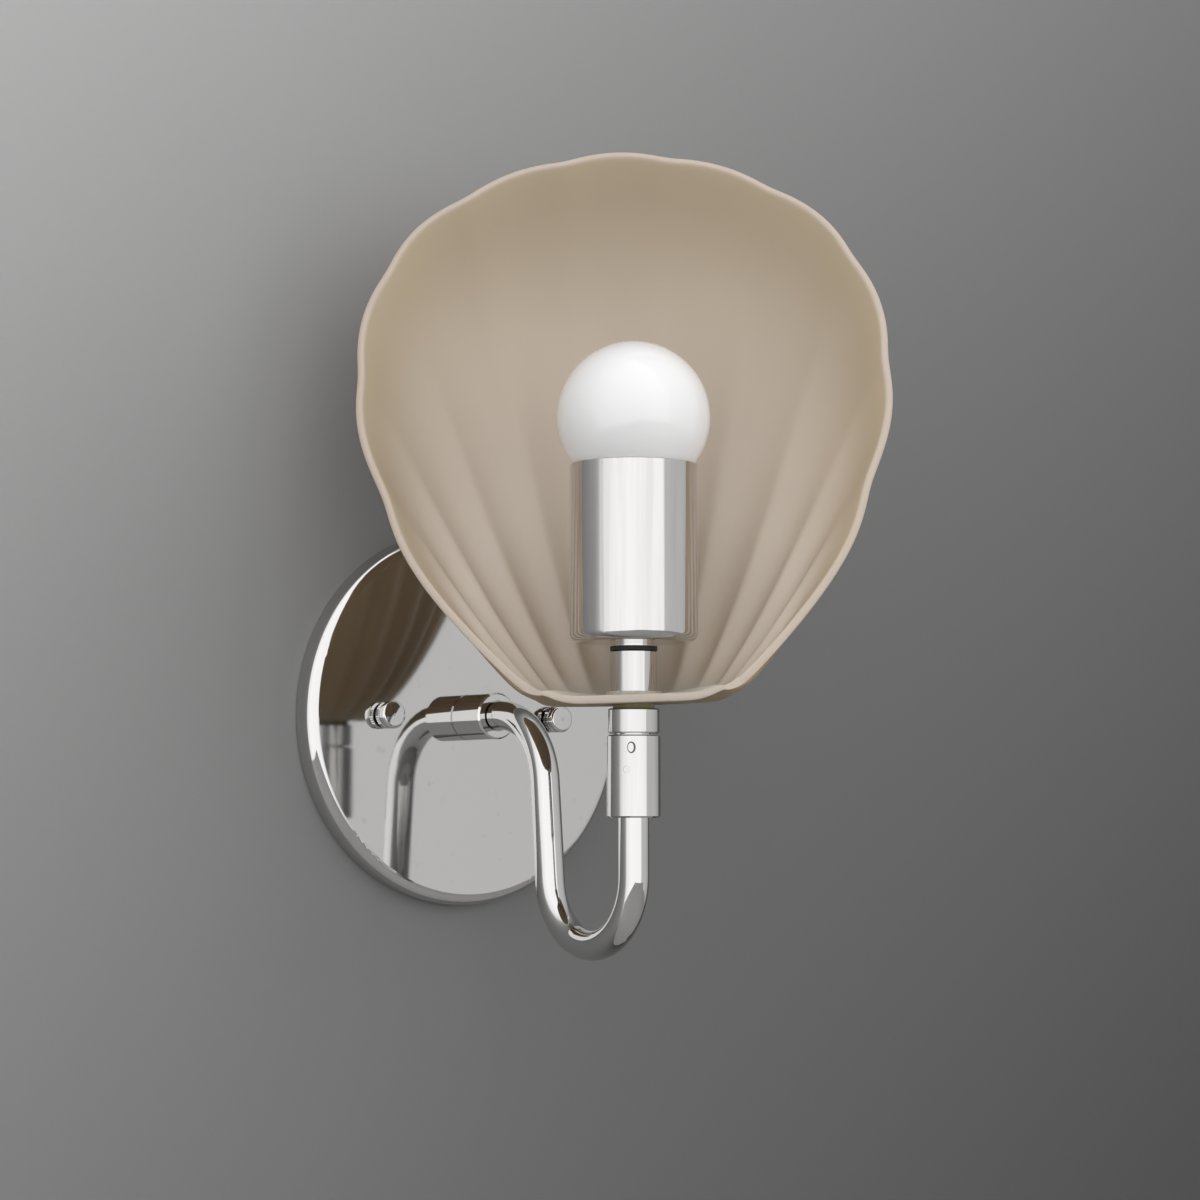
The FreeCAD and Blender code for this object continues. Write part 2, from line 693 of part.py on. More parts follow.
def make_arm_tube():
    """One tube: level from the collar, down and slightly out, then round a deep bend and up."""
    start, bend_start, leg_top, leg_foot, bend_height, end_up = arm_route()
    upper = size("arm_upper_radius")
    lower = size("arm_lower_radius")
    reach = size("arm_reach")
    lean = math.radians(size("arm_lean_deg"))
    upper_turn = (math.pi / 2 - lean) / 2
    lower_turn = lean / 2 - math.pi / 2

    def at(out, up):
        return Vector(0, -out, up)

    upper_mid = at(bend_start + upper * math.sin(upper_turn), upper * (math.cos(upper_turn) - 1))
    lower_mid = at(reach - lower + lower * math.cos(lower_turn), bend_height + lower * math.sin(lower_turn))
    path = Part.Wire([
        Part.LineSegment(at(start, 0), at(bend_start, 0)).toShape(),
        Part.Arc(at(bend_start, 0), upper_mid, at(*leg_top)).toShape(),
        Part.LineSegment(at(*leg_top), at(*leg_foot)).toShape(),
        Part.Arc(at(*leg_foot), lower_mid, at(reach, bend_height)).toShape(),
        Part.LineSegment(at(reach, bend_height), at(reach, end_up)).toShape(),
    ])
    rings = [Part.Wire(Part.Circle(at(start, 0), Vector(0, -1, 0), size(name) / 2).toShape())
             for name in ("arm_diameter", "arm_bore")]
    outside, inside = (path.makePipeShell([ring], True, False) for ring in rings)
    arm = doc.addObject("Part::Feature", "arm_tube")
    arm.Label = "arm_tube"
    arm.Shape = outside.cut(inside)
    return arm


# ---------------------------------------------------------------------------------------------------
# Swivel
# ---------------------------------------------------------------------------------------------------

def make_swivel_body():
    """The fixed lower half: a socket for the arm, a cavity for the spindle and a punched stop dimple."""
    edge = "swivel_body_diameter / 2"
    top = "swivel_body_length"
    arm = "arm_diameter / 2 + fit_clearance"
    ledge = f"{top} - swivel_mouth_depth"
    floor = f"{ledge} - swivel_cavity_depth"
    body = turned_piece("swivel_body", [
        (arm, "0"),
        (f"{edge} - swivel_chamfer", "0"),
        (edge, "swivel_chamfer"),
        (edge, f"{top} - swivel_chamfer"),
        (f"{edge} - swivel_chamfer", top),
        ("swivel_mouth_diameter / 2", top),
        ("swivel_mouth_diameter / 2", ledge),
        ("swivel_cavity_diameter / 2", ledge),
        ("swivel_cavity_diameter / 2", floor),
        ("arm_bore / 2", floor),
        ("arm_bore / 2", "swivel_arm_socket"),
        (arm, "swivel_arm_socket"),
    ])
    dimple = circle_sketch(body, "stake_circle", "YZ_Plane",
                           [("0", "stake_height", "stake_diameter")], offset=f"{edge} - stake_depth")
    doc.recompute()
    before = body.Shape.Volume
    cut = body.newObject("PartDesign::Pocket", "stake_dimple")
    cut.Profile = dimple
    cut.setExpression("Length", bound("stake_depth + cutter_overrun"))
    cut.Reversed = True
    body.Tip = cut
    doc.recompute()
    if body.Shape.Volume >= before - 1e-6:
        raise RuntimeError("the stake dimple cuts nothing")
    return stand_on_front_axis(body, BODY_BOTTOM, "stake_turn_deg - 90")


def make_swivel_head():
    """The turning upper half: a collar with a grooved spindle below it and a tapped hole above."""
    edge = "swivel_head_diameter / 2"
    spindle = f"{SPINDLE} / 2"
    shoulder = "swivel_gap + spindle_length"
    top = f"{shoulder} + swivel_head_height"
    groove_low = f"{RETAINING_RING_BOTTOM} - spindle_groove_play - {SPINDLE_BOTTOM}"
    groove_high = f"{RETAINING_RING_TOP} + spindle_groove_play - {SPINDLE_BOTTOM}"
    tap = f"{top} - shade_nipple_engagement - nipple_end_room"
    body = turned_piece("swivel_head", [
        ("spindle_bore / 2", "0"),
        (spindle, "0"),
        (spindle, groove_low),
        (f"{spindle} - spindle_groove_depth", groove_low),
        (f"{spindle} - spindle_groove_depth", groove_high),
        (spindle, groove_high),
        (spindle, shoulder),
        (f"{edge} - swivel_chamfer", shoulder),
        (edge, f"{shoulder} + swivel_chamfer"),
        (edge, f"{top} - swivel_chamfer"),
        (f"{edge} - swivel_chamfer", top),
        (f"{NIPPLE_FIT} / 2", top),
        (f"{NIPPLE_FIT} / 2", tap),
        ("spindle_bore / 2", tap),
    ])
    return stand_on_front_axis(body, f"-({top})", "head_turn_deg")


def make_friction_washer():
    """The washer that the retaining ring pulls up under the ledge to give the swivel its drag."""
    body = turned_piece("swivel_friction_washer", ring_points(
        f"{SPINDLE} / 2 + washer_play", f"{CAVITY_FIT} / 2", "friction_washer_thickness"))
    return stand_on_front_axis(body, RETAINING_RING_TOP)


def make_retaining_ring():
    """The open ring snapped into the spindle's groove."""
    body = turned_piece("swivel_retaining_ring", ring_points(
        f"{SPINDLE} / 2 - spindle_groove_depth + fit_clearance", f"{CAVITY_FIT} / 2",
        "retaining_ring_thickness"))
    reach = "swivel_cavity_diameter"
    notch = outline_sketch(body, "ring_opening", "XY_Plane", [
        ("0", "0"),
        (reach, f"-{reach} * tan(retaining_ring_opening_deg * 0.5)"),
        (reach, f"{reach} * tan(retaining_ring_opening_deg * 0.5)"),
    ])
    pocket_through(body, notch, "ring_opening_cut")
    return stand_on_front_axis(body, RETAINING_RING_BOTTOM)


# ---------------------------------------------------------------------------------------------------
# Stack on the threaded tube
# ---------------------------------------------------------------------------------------------------

def make_shade_nipple():
    """The threaded tube that clamps the glass, the spacer and the cup on the swivel's head."""
    length = f"shade_nipple_engagement + {HOLDER_CAP_BOTTOM} + holder_cap_wall"
    return stand_on_front_axis(threaded_tube("shade_nipple", length), "-shade_nipple_engagement")


def washer(label, diameter, thickness, height):
    """A plain ring on the threaded tube."""
    body = turned_piece(label, ring_points(f"{NIPPLE_FIT} / 2", f"{diameter} / 2", thickness))
    return stand_on_front_axis(body, height)


def wedge_washer(label, diameter, level, upper, low, high, height):
    """A soft ring squeezed to the leaning glass: level at one face, cut to the lean at its other."""
    body = turned_piece(label, ring_points(f"{NIPPLE_FIT} / 2", f"{diameter} / 2", high, low))
    past = f"({diameter} / 2 + cutter_overrun)"
    slope = f"{past} * tan(glass_lean_deg)"
    end = f"({low} - cutter_overrun)" if upper else f"({high} + cutter_overrun)"
    waste = outline_sketch(body, f"{label}_waste", "XZ_Plane", [
        (f"-{past}", f"{level} - {slope}"),
        (past, f"{level} + {slope}"),
        (past, end),
        (f"-{past}", end),
    ])
    pocket_through(body, waste, f"{label}_lean_cut")
    return stand_on_front_axis(body, height, "head_turn_deg")


def make_lower_shade_washer():
    """The olive washer under the glass, thicker on the side where the glass lifts."""
    rise = "lower_washer_diameter / 2 * tan(glass_lean_deg)"
    return wedge_washer("lower_shade_washer", "lower_washer_diameter", "lower_washer_thickness", False,
                        "0", f"(lower_washer_thickness + {rise})", "0")


def make_upper_shade_washer():
    """The soft washer on the glass floor, its top level under the spacer."""
    rise = "upper_washer_diameter / 2 * tan(glass_lean_deg)"
    level = "(glass_thickness / cos(glass_lean_deg) - glass_thickness)"
    return wedge_washer("upper_shade_washer", "upper_washer_diameter", level, True,
                        f"({level} - {rise})", "upper_washer_thickness", GLASS_TOP)


def make_stem_spacer():
    """The bright tube between the glass and the cup."""
    edge = "spacer_diameter / 2"
    body = turned_piece("stem_spacer", [
        (f"{NIPPLE_FIT} / 2", "0"),
        (edge, "0"),
        (edge, "spacer_length - spacer_chamfer"),
        (f"{edge} - spacer_chamfer", "spacer_length"),
        (f"{NIPPLE_FIT} / 2", "spacer_length"),
    ])
    return stand_on_front_axis(body, SPACER_BOTTOM)


# ---------------------------------------------------------------------------------------------------
# Glass shell: its own X is across, its Y is to the back and its Z is up from the floor's underside
# ---------------------------------------------------------------------------------------------------

ROWS = 12
STEPS_PER_FLUTE = 6
FLUTE_START_ROWS = 2
CUBIC = 3
PROBE_STEP = 1e-4
NORMAL_END = 0.93
SEAT_FADE_POWER = 6


class GlassShell:
    """The fan of flutes from the floor's edge (along = 0) to the rim (along = 1)."""

    def __init__(self):
        self.thickness = size("glass_thickness")
        self.lean = Rotation(Vector(0, 1, 0), -size("glass_lean_deg"))
        self.half_width = size("floor_half_width")
        self.floor_depth = size("floor_depth")
        self.lip = size("floor_lip_reach")
        self.crown = size("crown_radius")
        self.crown_height = size("crown_height")
        self.flank = size("flank_radius")
        self.rim_top_depth = size("rim_top_depth")
        self.power = size("rim_rise_power")
        self.foot_tilt = math.radians(size("wall_foot_tilt_deg"))
        self.curl = math.radians(size("rim_curl_deg"))
        self.curl_chord = size("rim_curl_chord")
        self.foot_fullness = size("wall_foot_fullness")
        self.rim_fullness = size("wall_rim_fullness")
        self.flutes = int(round(size("flute_count")))
        self.flute_depth = size("flute_depth")
        self.fade = size("flute_fade")
        self.fade_at = size("flute_fade_at")
        self.fade_reach = size("flute_fade_reach")
        self.fan = math.radians(size("flute_fan_deg"))
        foot_x = size("flank_foot_half_width")
        foot_z = size("flank_foot_height") - self.crown_height
        self.foot_angle = math.atan2(foot_x, foot_z)
        # the angle from the top at which the flank's larger arc leaves the crown's arc
        spread = self.flank - self.crown
        reach = math.hypot(foot_x, foot_z)
        share = (self.flank ** 2 - reach ** 2 - spread ** 2) / (2 * spread * reach)
        self.join_angle = self.foot_angle - math.acos(share)

    def outline(self, angle):
        """The front outline at an angle from the top, as (across, up)."""
        if abs(angle) <= self.join_angle:
            radius = self.crown
        else:
            spread = self.flank - self.crown
            lean = math.cos(abs(angle) - self.join_angle)
            radius = -spread * lean + math.sqrt(self.flank ** 2 - spread ** 2 * (1 - lean ** 2))
        return radius * math.sin(angle), self.crown_height + radius * math.cos(angle)

    def rim_angle(self, across):
        """How far round the outline a flute ends, for a place across the fan from -1 to 1."""
        side = abs(across)
        angle = self.fan * side + (self.foot_angle - self.fan) * side ** 8
        return math.copysign(angle, across)

    def foot(self, across):
        """A point on the floor's edge and the level direction away from the floor there."""
        turn = across * math.pi / 2
        place = Vector(self.half_width * math.sin(turn), self.floor_depth * math.cos(turn) - self.lip, 0)
        outward = Vector(math.sin(turn) / self.half_width, math.cos(turn) / self.floor_depth, 0)
        outward.normalize()
        return place, outward

    def smooth(self, across, along):
        """A point of the outside without its flutes, on a fore-and-aft line from the floor to the rim."""
        foot, outward = self.foot(across)
        x, z = self.outline(self.rim_angle(across))
        share = z / (self.crown_height + self.crown)
        rim = Vector(x, (self.rim_top_depth + self.lip) * share ** self.power - self.lip, z)
        rising = Vector(x - foot.x, 0, z)
        rising.normalize()
        leave = outward * math.sin(self.foot_tilt) + Vector(0, 0, math.cos(self.foot_tilt))
        chord = (rim - foot).Length
        curl = self.curl * min(1.0, chord / self.curl_chord)
        arrive = rising * math.cos(curl) - Vector(0, math.sin(curl), 0)
        first = foot + leave * (chord * self.foot_fullness)
        second = rim - arrive * (chord * self.rim_fullness)
        rest = 1 - along
        return (foot * rest ** 3 + first * (3 * rest ** 2 * along)
                + second * (3 * rest * along ** 2) + rim * along ** 3)

    def flute(self, across, along):
        """How far a point stands out from the smooth shell."""
        swell = abs(math.cos(self.flutes * math.pi * across / 2))
        start = min(1.0, along * ROWS / FLUTE_START_ROWS)
        side = min(1.0, (1 - abs(across)) * self.flutes / 2)
        fade = 1 - self.fade * math.exp(-((along - self.fade_at) / self.fade_reach) ** 2)
        return self.flute_depth * start * side * fade * (swell - 2 / math.pi)

    def outward(self, across, along):
        """The unit normal of the smooth shell, away from its hollow; its ends take their neighbour's."""
        across = max(-NORMAL_END, min(NORMAL_END, across))
        left, right = across - PROBE_STEP, across + PROBE_STEP
        low, high = max(0.0, along - PROBE_STEP), min(1.0, along + PROBE_STEP)
        sideways = self.smooth(right, along) - self.smooth(left, along)
        upward = self.smooth(across, high) - self.smooth(across, low)
        normal = upward.cross(sideways)
        normal.normalize()
        return normal

    def point(self, across, along, inner=False):
        """A corner of the net that draws the outer or the inner skin, with the glass's lean."""
        normal = self.outward(across, along)
        outside = self.smooth(across, along) + normal * self.flute(across, along)
        if not inner:
            return self.lean.multVec(outside)
        foot, level = self.foot(across)
        seat = foot - level * (self.thickness * math.cos(self.foot_tilt)) + Vector(0, 0, self.thickness)
        slip = seat - (foot - self.outward(across, 0.0) * self.thickness)
        inside = outside - normal * self.thickness + slip * (1 - along) ** SEAT_FADE_POWER
        return self.lean.multVec(inside)

    def skin(self, inner):
        """One skin as a smooth cubic face drawn by a net of points."""
        columns = self.flutes * STEPS_PER_FLUTE
        net = [[self.point(2 * i / columns - 1, j / ROWS, inner) for j in range(ROWS + 1)]
               for i in range(columns + 1)]
        surface = Part.BSplineSurface()
        knots, counts = [], []
        for steps in (columns, ROWS):
            spans = steps - CUBIC + 1
            knots.append([float(k) for k in range(spans + 1)])
            counts.append([CUBIC + 1] + [1] * (spans - 1) + [CUBIC + 1])
        surface.buildFromPolesMultsKnots(net, counts[0], counts[1], knots[0], knots[1], False, False,
                                         CUBIC, CUBIC)
        return surface.toShape()


def edge_between(face, first, second):
    """The face's boundary edge that joins two points."""
    for edge in face.Edges:
        ends = [v.Point for v in edge.Vertexes]
        if len(ends) == 2 and all(min((p - q).Length for q in ends) < 1e-3 for p in (first, second)):
            return edge
    raise RuntimeError("the skin has no such edge")


def make_shell_shade():
    """The fluted glass shell: two skins, a rim between them and a flat floor with a hole."""
    shell = GlassShell()
    skins = {inner: shell.skin(inner) for inner in (False, True)}
    corners = {inner: [[shell.point(side, end, inner) for end in (0.0, 1.0)] for side in (-1, 1)]
               for inner in (False, True)}
    sides = {}
    for inner, face in skins.items():
        (left_foot, left_rim), (right_foot, right_rim) = corners[inner]
        sides[inner] = {
            "foot": edge_between(face, left_foot, right_foot),
            "rim": edge_between(face, left_rim, right_rim),
            "left": edge_between(face, left_foot, left_rim),
            "right": edge_between(face, right_foot, right_rim),
        }
    faces = [skins[False], skins[True]]
    for name in ("rim", "left", "right"):
        faces.append(Part.makeRuledSurface(sides[False][name], sides[True][name]))
    lines = {}
    for inner in (False, True):
        left_foot, right_foot = corners[inner][0][0], corners[inner][1][0]
        lines[inner] = Part.LineSegment(left_foot, right_foot).toShape()
        faces.append(Part.Face(Part.Wire([sides[inner]["foot"], lines[inner]])))
    faces.append(Part.makeRuledSurface(lines[False], lines[True]))
    sewn = Part.makeShell(faces)
    sewn.sewShape()
    solid = Part.makeSolid(sewn)
    solid.fix(1e-4, 1e-4, 1e-2)
    hole_radius = size("nipple_diameter") / 2 + size("floor_hole_clearance")
    reach = shell.lean.multVec(Vector(0, 0, shell.thickness))
    hole = Part.makeCylinder(hole_radius, 3 * shell.thickness, -reach, reach)
    solid = solid.cut(hole)
    shade = doc.addObject("Part::Feature", "shell_shade")
    shade.Label = "shell_shade"
    shade.Shape = solid.Solids[0]
    return stand_on_front_axis(shade, GLASS_BOTTOM, "head_turn_deg")


# ---------------------------------------------------------------------------------------------------
# Cup and lampholder
# ---------------------------------------------------------------------------------------------------

def make_socket_cup():
    """The bright cup: a rounded foot, a thin wall and an open top."""
    edge = "cup_diameter / 2"
    body = turned_piece("socket_cup", [
        (f"{NIPPLE_FIT} / 2", "0"),
        (edge, "0"),
        (edge, "cup_height"),
        (f"{edge} - cup_wall", "cup_height"),
        (f"{edge} - cup_wall", "cup_wall"),
        (f"{NIPPLE_FIT} / 2", "cup_wall"),
    ])
    outer = size("cup_diameter") / 2
    wall = size("cup_wall")
    round_edges(body, "cup_foot", "cup_foot_radius", level_ring(outer, 0.0))
    round_edges(body, "cup_foot_inside", "cup_foot_radius - cup_wall", level_ring(outer - wall, wall))
    return stand_on_front_axis(body, CUP_BOTTOM)


def make_lampholder_cap():
    """The moulded cap that screws on the threaded tube and closes the lampholder below."""
    edge = "holder_cap_diameter / 2"
    inner = "holder_cap_diameter / 2 - holder_cap_wall"
    body = turned_piece("lampholder_cap", [
        (f"{NIPPLE_FIT} / 2", "0"),
        (f"{edge} - holder_chamfer", "0"),
        (edge, "holder_chamfer"),
        (edge, "holder_cap_height"),
        (inner, "holder_cap_height"),
        (inner, "holder_cap_wall"),
        (f"{NIPPLE_FIT} / 2", "holder_cap_wall"),
    ])
    return stand_on_front_axis(body, HOLDER_CAP_BOTTOM)


def make_lampholder_body():
    """The moulded barrel that holds the screw shell and centres itself in the cup with ribs."""
    edge = "holder_diameter / 2"
    bore = "shell_thread_diameter / 2 + shell_wall + fit_clearance"
    body = turned_piece("lampholder_body", [
        ("0", "0"),
        ("holder_cap_diameter / 2", "0"),
        (edge, "holder_chamfer"),
        (edge, "holder_height"),
        (bore, "holder_height"),
        (bore, "holder_floor"),
        ("0", "holder_floor"),
    ])
    rib = outline_sketch(body, "holder_rib", "XY_Plane", [
        (f"{edge} - cutter_overrun", "-holder_rib_width / 2"),
        (f"{edge} + holder_rib_proud", "-holder_rib_width / 2"),
        (f"{edge} + holder_rib_proud", "holder_rib_width / 2"),
        (f"{edge} - cutter_overrun", "holder_rib_width / 2"),
    ], offset="holder_chamfer")
    raised = pad(body, rib, "holder_rib_bar", "holder_height - 2 * holder_chamfer")
    repeat_round(body, raised, "holder_ribs", "holder_rib_count")
    return stand_on_front_axis(body, HOLDER_BOTTOM)


def make_screw_shell():
    """The rolled brass shell that takes the bulb's base."""
    outer = "shell_thread_diameter / 2 + shell_wall"
    inner = "shell_thread_diameter / 2"
    window = "contact_length / 2 + shell_window_gap"
    body = turned_piece("screw_shell", [
        (window, "0"),
        (outer, "0"),
        (outer, "shell_length"),
        (inner, "shell_length"),
        (inner, "shell_wall"),
        (window, "shell_wall"),
    ])
    return stand_on_front_axis(body, HOLDER_FLOOR)


def make_centre_contact():
    """The folded spring tab under the bulb's tip."""
    body = new_body("centre_contact")
    half = "contact_length / 2"
    rise = "contact_rise"
    blade = "contact_thickness"
    flat = "contact_pad_length / 2"
    profile = outline_sketch(body, "contact_profile", "XZ_Plane", [
        (f"-({half})", "0"),
        (half, "0"),
        (half, blade),
        (f"-({half}) + contact_fold_room", blade),
        (f"-{flat}", rise),
        (flat, rise),
        (flat, f"{rise} + {blade}"),
        (f"-{flat}", f"{rise} + {blade}"),
        (f"-({half})", blade),
    ])
    pad(body, profile, "contact_blade", "contact_width", midplane=True)
    return stand_on_front_axis(body, HOLDER_FLOOR)


# ---------------------------------------------------------------------------------------------------
# Bulb
# ---------------------------------------------------------------------------------------------------

def globe_skin(label, inset):
    """The globe and its open neck as one solid, drawn in by an inset."""
    ball = doc.addObject("Part::Sphere", f"{label}_ball")
    ball.setExpression("Radius", bound(f"bulb_diameter / 2 - {inset}"))
    tube = doc.addObject("Part::Cylinder", f"{label}_neck")
    tube.setExpression("Radius", bound(f"bulb_neck_diameter / 2 - {inset}"))
    tube.setExpression("Height", bound(f"bulb_centre_height - {BULB_BASE_TOP}"))
    tube.setExpression("Placement.Base.z", bound(f"{BULB_BASE_TOP} - bulb_centre_height"))
    skin = doc.addObject("Part::Fuse", label)
    skin.Base = ball
    skin.Tool = tube
    return skin


def make_bulb_globe():
    """The opal globe with its neck, as one thin-walled bulb of glass."""
    globe = doc.addObject("Part::Cut", "bulb_globe")
    globe.Label = "bulb_globe"
    globe.Base = globe_skin("globe_outside", "0")
    globe.Tool = globe_skin("globe_inside", "bulb_glass_wall")
    return stand_on_front_axis(globe, "bulb_centre_height")


BASE_THREADS = 4


def make_bulb_base():
    """The screw cap: rolled threads outside, a plain bore and an inturned foot."""
    edge = "bulb_base_diameter / 2"
    root = f"{edge} - base_thread_depth"
    bore = f"{root} - bulb_base_wall"
    points = [("bulb_insulator_diameter / 2", "0"), (root, "0")]
    for i in range(BASE_THREADS):
        points.append((edge, f"base_thread_start + base_thread_pitch * {i + 0.5}"))
        points.append((root, f"base_thread_start + base_thread_pitch * {i + 1}"))
    points += [
        (edge, "bulb_base_length - base_thread_start"),
        (edge, "bulb_base_length"),
        (bore, "bulb_base_length"),
        (bore, "bulb_base_wall"),
        ("bulb_insulator_diameter / 2", "bulb_base_wall"),
    ]
    return stand_on_front_axis(turned_piece("bulb_base", points), BULB_BASE_BOTTOM)


def make_bulb_insulator():
    """The dark glass button at the foot of the bulb's base."""
    body = turned_piece("bulb_insulator", [
        ("0", "0"),
        ("bulb_contact_diameter / 2", "0"),
        ("bulb_insulator_diameter / 2 + insulator_overlap", "bulb_insulator_height"),
        ("0", "bulb_insulator_height"),
    ])
    return stand_on_front_axis(body, f"{BULB_TIP} + bulb_contact_height")


def make_bulb_contact():
    """The soldered tip."""
    edge = "bulb_contact_diameter / 2"
    body = turned_piece("bulb_contact", [
        ("0", "0"),
        (f"{edge} * contact_tip_share", "0"),
        (edge, "bulb_contact_height"),
        ("0", "bulb_contact_height"),
    ])
    return stand_on_front_axis(body, BULB_TIP)


# ---------------------------------------------------------------------------------------------------
# Build, check and write
# ---------------------------------------------------------------------------------------------------

pieces = [
    make_canopy(),
    make_mounting_strap(),
    make_canopy_screws(),
    make_ground_screw(),
    make_thumb_nut("thumb_nut_left", "-"),
    make_thumb_nut("thumb_nut_right", ""),
    make_arm_nipple(),
    make_nipple_lock_washer(),
    point_out_from_wall(hexagon_piece("nipple_nut", "nut_thickness"),
                        f"{CANOPY_INNER} - lock_washer_thickness - nut_thickness"),
    make_canopy_collar(),
    make_arm_tube(),
    make_swivel_body(),
    make_swivel_head(),
    make_friction_washer(),
    make_retaining_ring(),
    make_shade_nipple(),
    make_lower_shade_washer(),
    make_shell_shade(),
    make_upper_shade_washer(),
    make_stem_spacer(),
    washer("cup_washer", "cup_washer_diameter", "cup_washer_thickness", SPACER_TOP),
    washer("cup_bush", "cup_bush_diameter", "cup_bush_height", CUP_BUSH_BOTTOM),
    make_socket_cup(),
    stand_on_front_axis(hexagon_piece("cup_nut", "cup_nut_thickness"), CUP_FLOOR),
    make_lampholder_cap(),
    make_lampholder_body(),
    make_screw_shell(),
    make_centre_contact(),
    make_bulb_globe(),
    make_bulb_base(),
    make_bulb_insulator(),
    make_bulb_contact(),
]
doc.recompute()

for item in doc.Objects:
    if "Invalid" in item.State or "Error" in item.State:
        raise RuntimeError(f"{item.Name} failed: {item.State}")
for piece in pieces:
    shape = piece.Shape
    if shape.isNull() or not shape.isValid() or not shape.Solids:
        raise RuntimeError(f"{piece.Label} is not a valid solid")

os.makedirs("parts", exist_ok=True)
for piece in pieces:
    piece.Shape.exportStep(os.path.join("parts", f"{piece.Label}.step"))
print(len(pieces), "sub-parts written")
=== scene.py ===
"""Looks for the shell wall sconce.

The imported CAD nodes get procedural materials.  A finer glass shell, shorter nuts, an arm with a higher
bend and a punched mark are drawn over them, with a wall, a floor, soft studio light and the camera.
Frame in metres: +Z up, the wall is y = 0 and the front faces -Y.
"""

import json
import math

import bmesh
import bpy
from mathutils import Matrix, Vector


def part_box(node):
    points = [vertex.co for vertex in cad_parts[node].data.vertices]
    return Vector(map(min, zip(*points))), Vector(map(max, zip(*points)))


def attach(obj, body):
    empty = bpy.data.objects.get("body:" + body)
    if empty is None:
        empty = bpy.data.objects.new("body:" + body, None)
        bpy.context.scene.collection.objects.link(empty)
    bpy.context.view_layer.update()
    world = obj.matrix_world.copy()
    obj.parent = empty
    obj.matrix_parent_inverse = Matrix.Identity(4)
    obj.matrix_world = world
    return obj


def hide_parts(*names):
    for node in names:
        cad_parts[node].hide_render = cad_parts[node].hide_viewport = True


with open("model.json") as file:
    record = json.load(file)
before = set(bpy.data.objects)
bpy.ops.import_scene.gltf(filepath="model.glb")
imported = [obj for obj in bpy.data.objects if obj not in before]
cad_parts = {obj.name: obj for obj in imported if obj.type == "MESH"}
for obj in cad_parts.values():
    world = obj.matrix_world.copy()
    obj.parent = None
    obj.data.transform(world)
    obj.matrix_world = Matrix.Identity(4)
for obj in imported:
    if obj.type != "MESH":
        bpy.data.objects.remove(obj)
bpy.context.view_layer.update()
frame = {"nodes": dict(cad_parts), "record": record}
scene = bpy.context.scene

TO_METRES = 0.001
TO_MILLIMETRES = 1000.0

# ---------------------------------------------------------------------------------------------------
# Helpers for nodes and meshes
# ---------------------------------------------------------------------------------------------------


def node(tree, kind, **settings):
    """Adds a shader node; settings are properties, or input values by name with '__' for a space."""
    made = tree.nodes.new(kind)
    for key, value in settings.items():
        socket = key.replace("__", " ")
        if socket in made.inputs:
            made.inputs[socket].default_value = value
        else:
            setattr(made, key, value)
    return made


def grey(level):
    """A neutral colour."""
    return (level, level, level)


def ramp(tree, value, stops):
    """The colour of a ramp of (position, colour) stops, read at a value."""
    made = tree.nodes.new("ShaderNodeValToRGB")
    elements = made.color_ramp.elements
    while len(elements) < len(stops):
        elements.new(0.5)
    for element, (position, colour) in zip(elements, stops):
        element.position = position
        element.color = (*colour, 1.0)
    tree.links.new(value, made.inputs["Fac"])
    return made.outputs["Color"]


def noise(tree, place, scale, detail):
    """The value of a noise read at a place."""
    made = node(tree, "ShaderNodeTexNoise", Scale=scale, Detail=detail)
    tree.links.new(place, made.inputs["Vector"])
    return made.outputs["Fac"]


def remap(tree, value, **settings):
    """A value moved from one range to another; the settings are as for node()."""
    made = node(tree, "ShaderNodeMapRange", **settings)
    tree.links.new(value, made.inputs["Value"])
    return made.outputs[0]


def attribute(tree, name):
    """The value of a mesh attribute."""
    return node(tree, "ShaderNodeAttribute", attribute_name=name).outputs["Fac"]


def object_place(tree):
    """The place of a point in its object's own frame."""
    return tree.nodes.new("ShaderNodeTexCoord").outputs["Object"]


def roughen(tree, shader, height, strength, distance):
    """Tilts a shader's normal by a height."""
    bump = node(tree, "ShaderNodeBump", Strength=strength, Distance=distance)
    tree.links.new(height, bump.inputs["Height"])
    tree.links.new(bump.outputs[0], shader.inputs["Normal"])


def principled(name, **settings):
    """A new material and its Principled shader."""
    material = bpy.data.materials.new(name)
    material.use_nodes = True
    shader = material.node_tree.nodes["Principled BSDF"]
    for key, value in settings.items():
        shader.inputs[key.replace("__", " ")].default_value = value
    return material, shader


def mixed_surface(tree, first, second):
    """Sends a mix of two shaders to the material's surface; returns the input for the second's share."""
    mix = tree.nodes.new("ShaderNodeMixShader")
    tree.links.new(first, mix.inputs[1])
    tree.links.new(second, mix.inputs[2])
    out = next(n for n in tree.nodes if n.type == "OUTPUT_MATERIAL")
    tree.links.new(mix.outputs[0], out.inputs["Surface"])
    return mix.inputs[0]


def mesh_object(name, corners, faces, material):
    """A new object in the scene with a mesh of one material."""
    mesh = bpy.data.meshes.new(name)
    mesh.from_pydata(corners, [], faces)
    mesh.materials.append(material)
    made = bpy.data.objects.new(name, mesh)
    scene.collection.objects.link(made)
    return made


def face_outward(mesh):
    """Turns the faces of a closed mesh outward."""
    work = bmesh.new()
    work.from_mesh(mesh)
    bmesh.ops.recalc_face_normals(work, faces=work.faces)
    work.to_mesh(mesh)
    work.free()


# ---------------------------------------------------------------------------------------------------
# Camera: a long lens below the lamp, left of straight ahead
# ---------------------------------------------------------------------------------------------------

PICTURE_PX = 1200
FOCAL_PX = 2810.0
SENSOR_MM = 36.0
CAMERA_PLACE = (-0.5478, -0.8188, -0.0363)
CAMERA_YAW_DEG = 36.7
CAMERA_RISE_DEG = 4.52


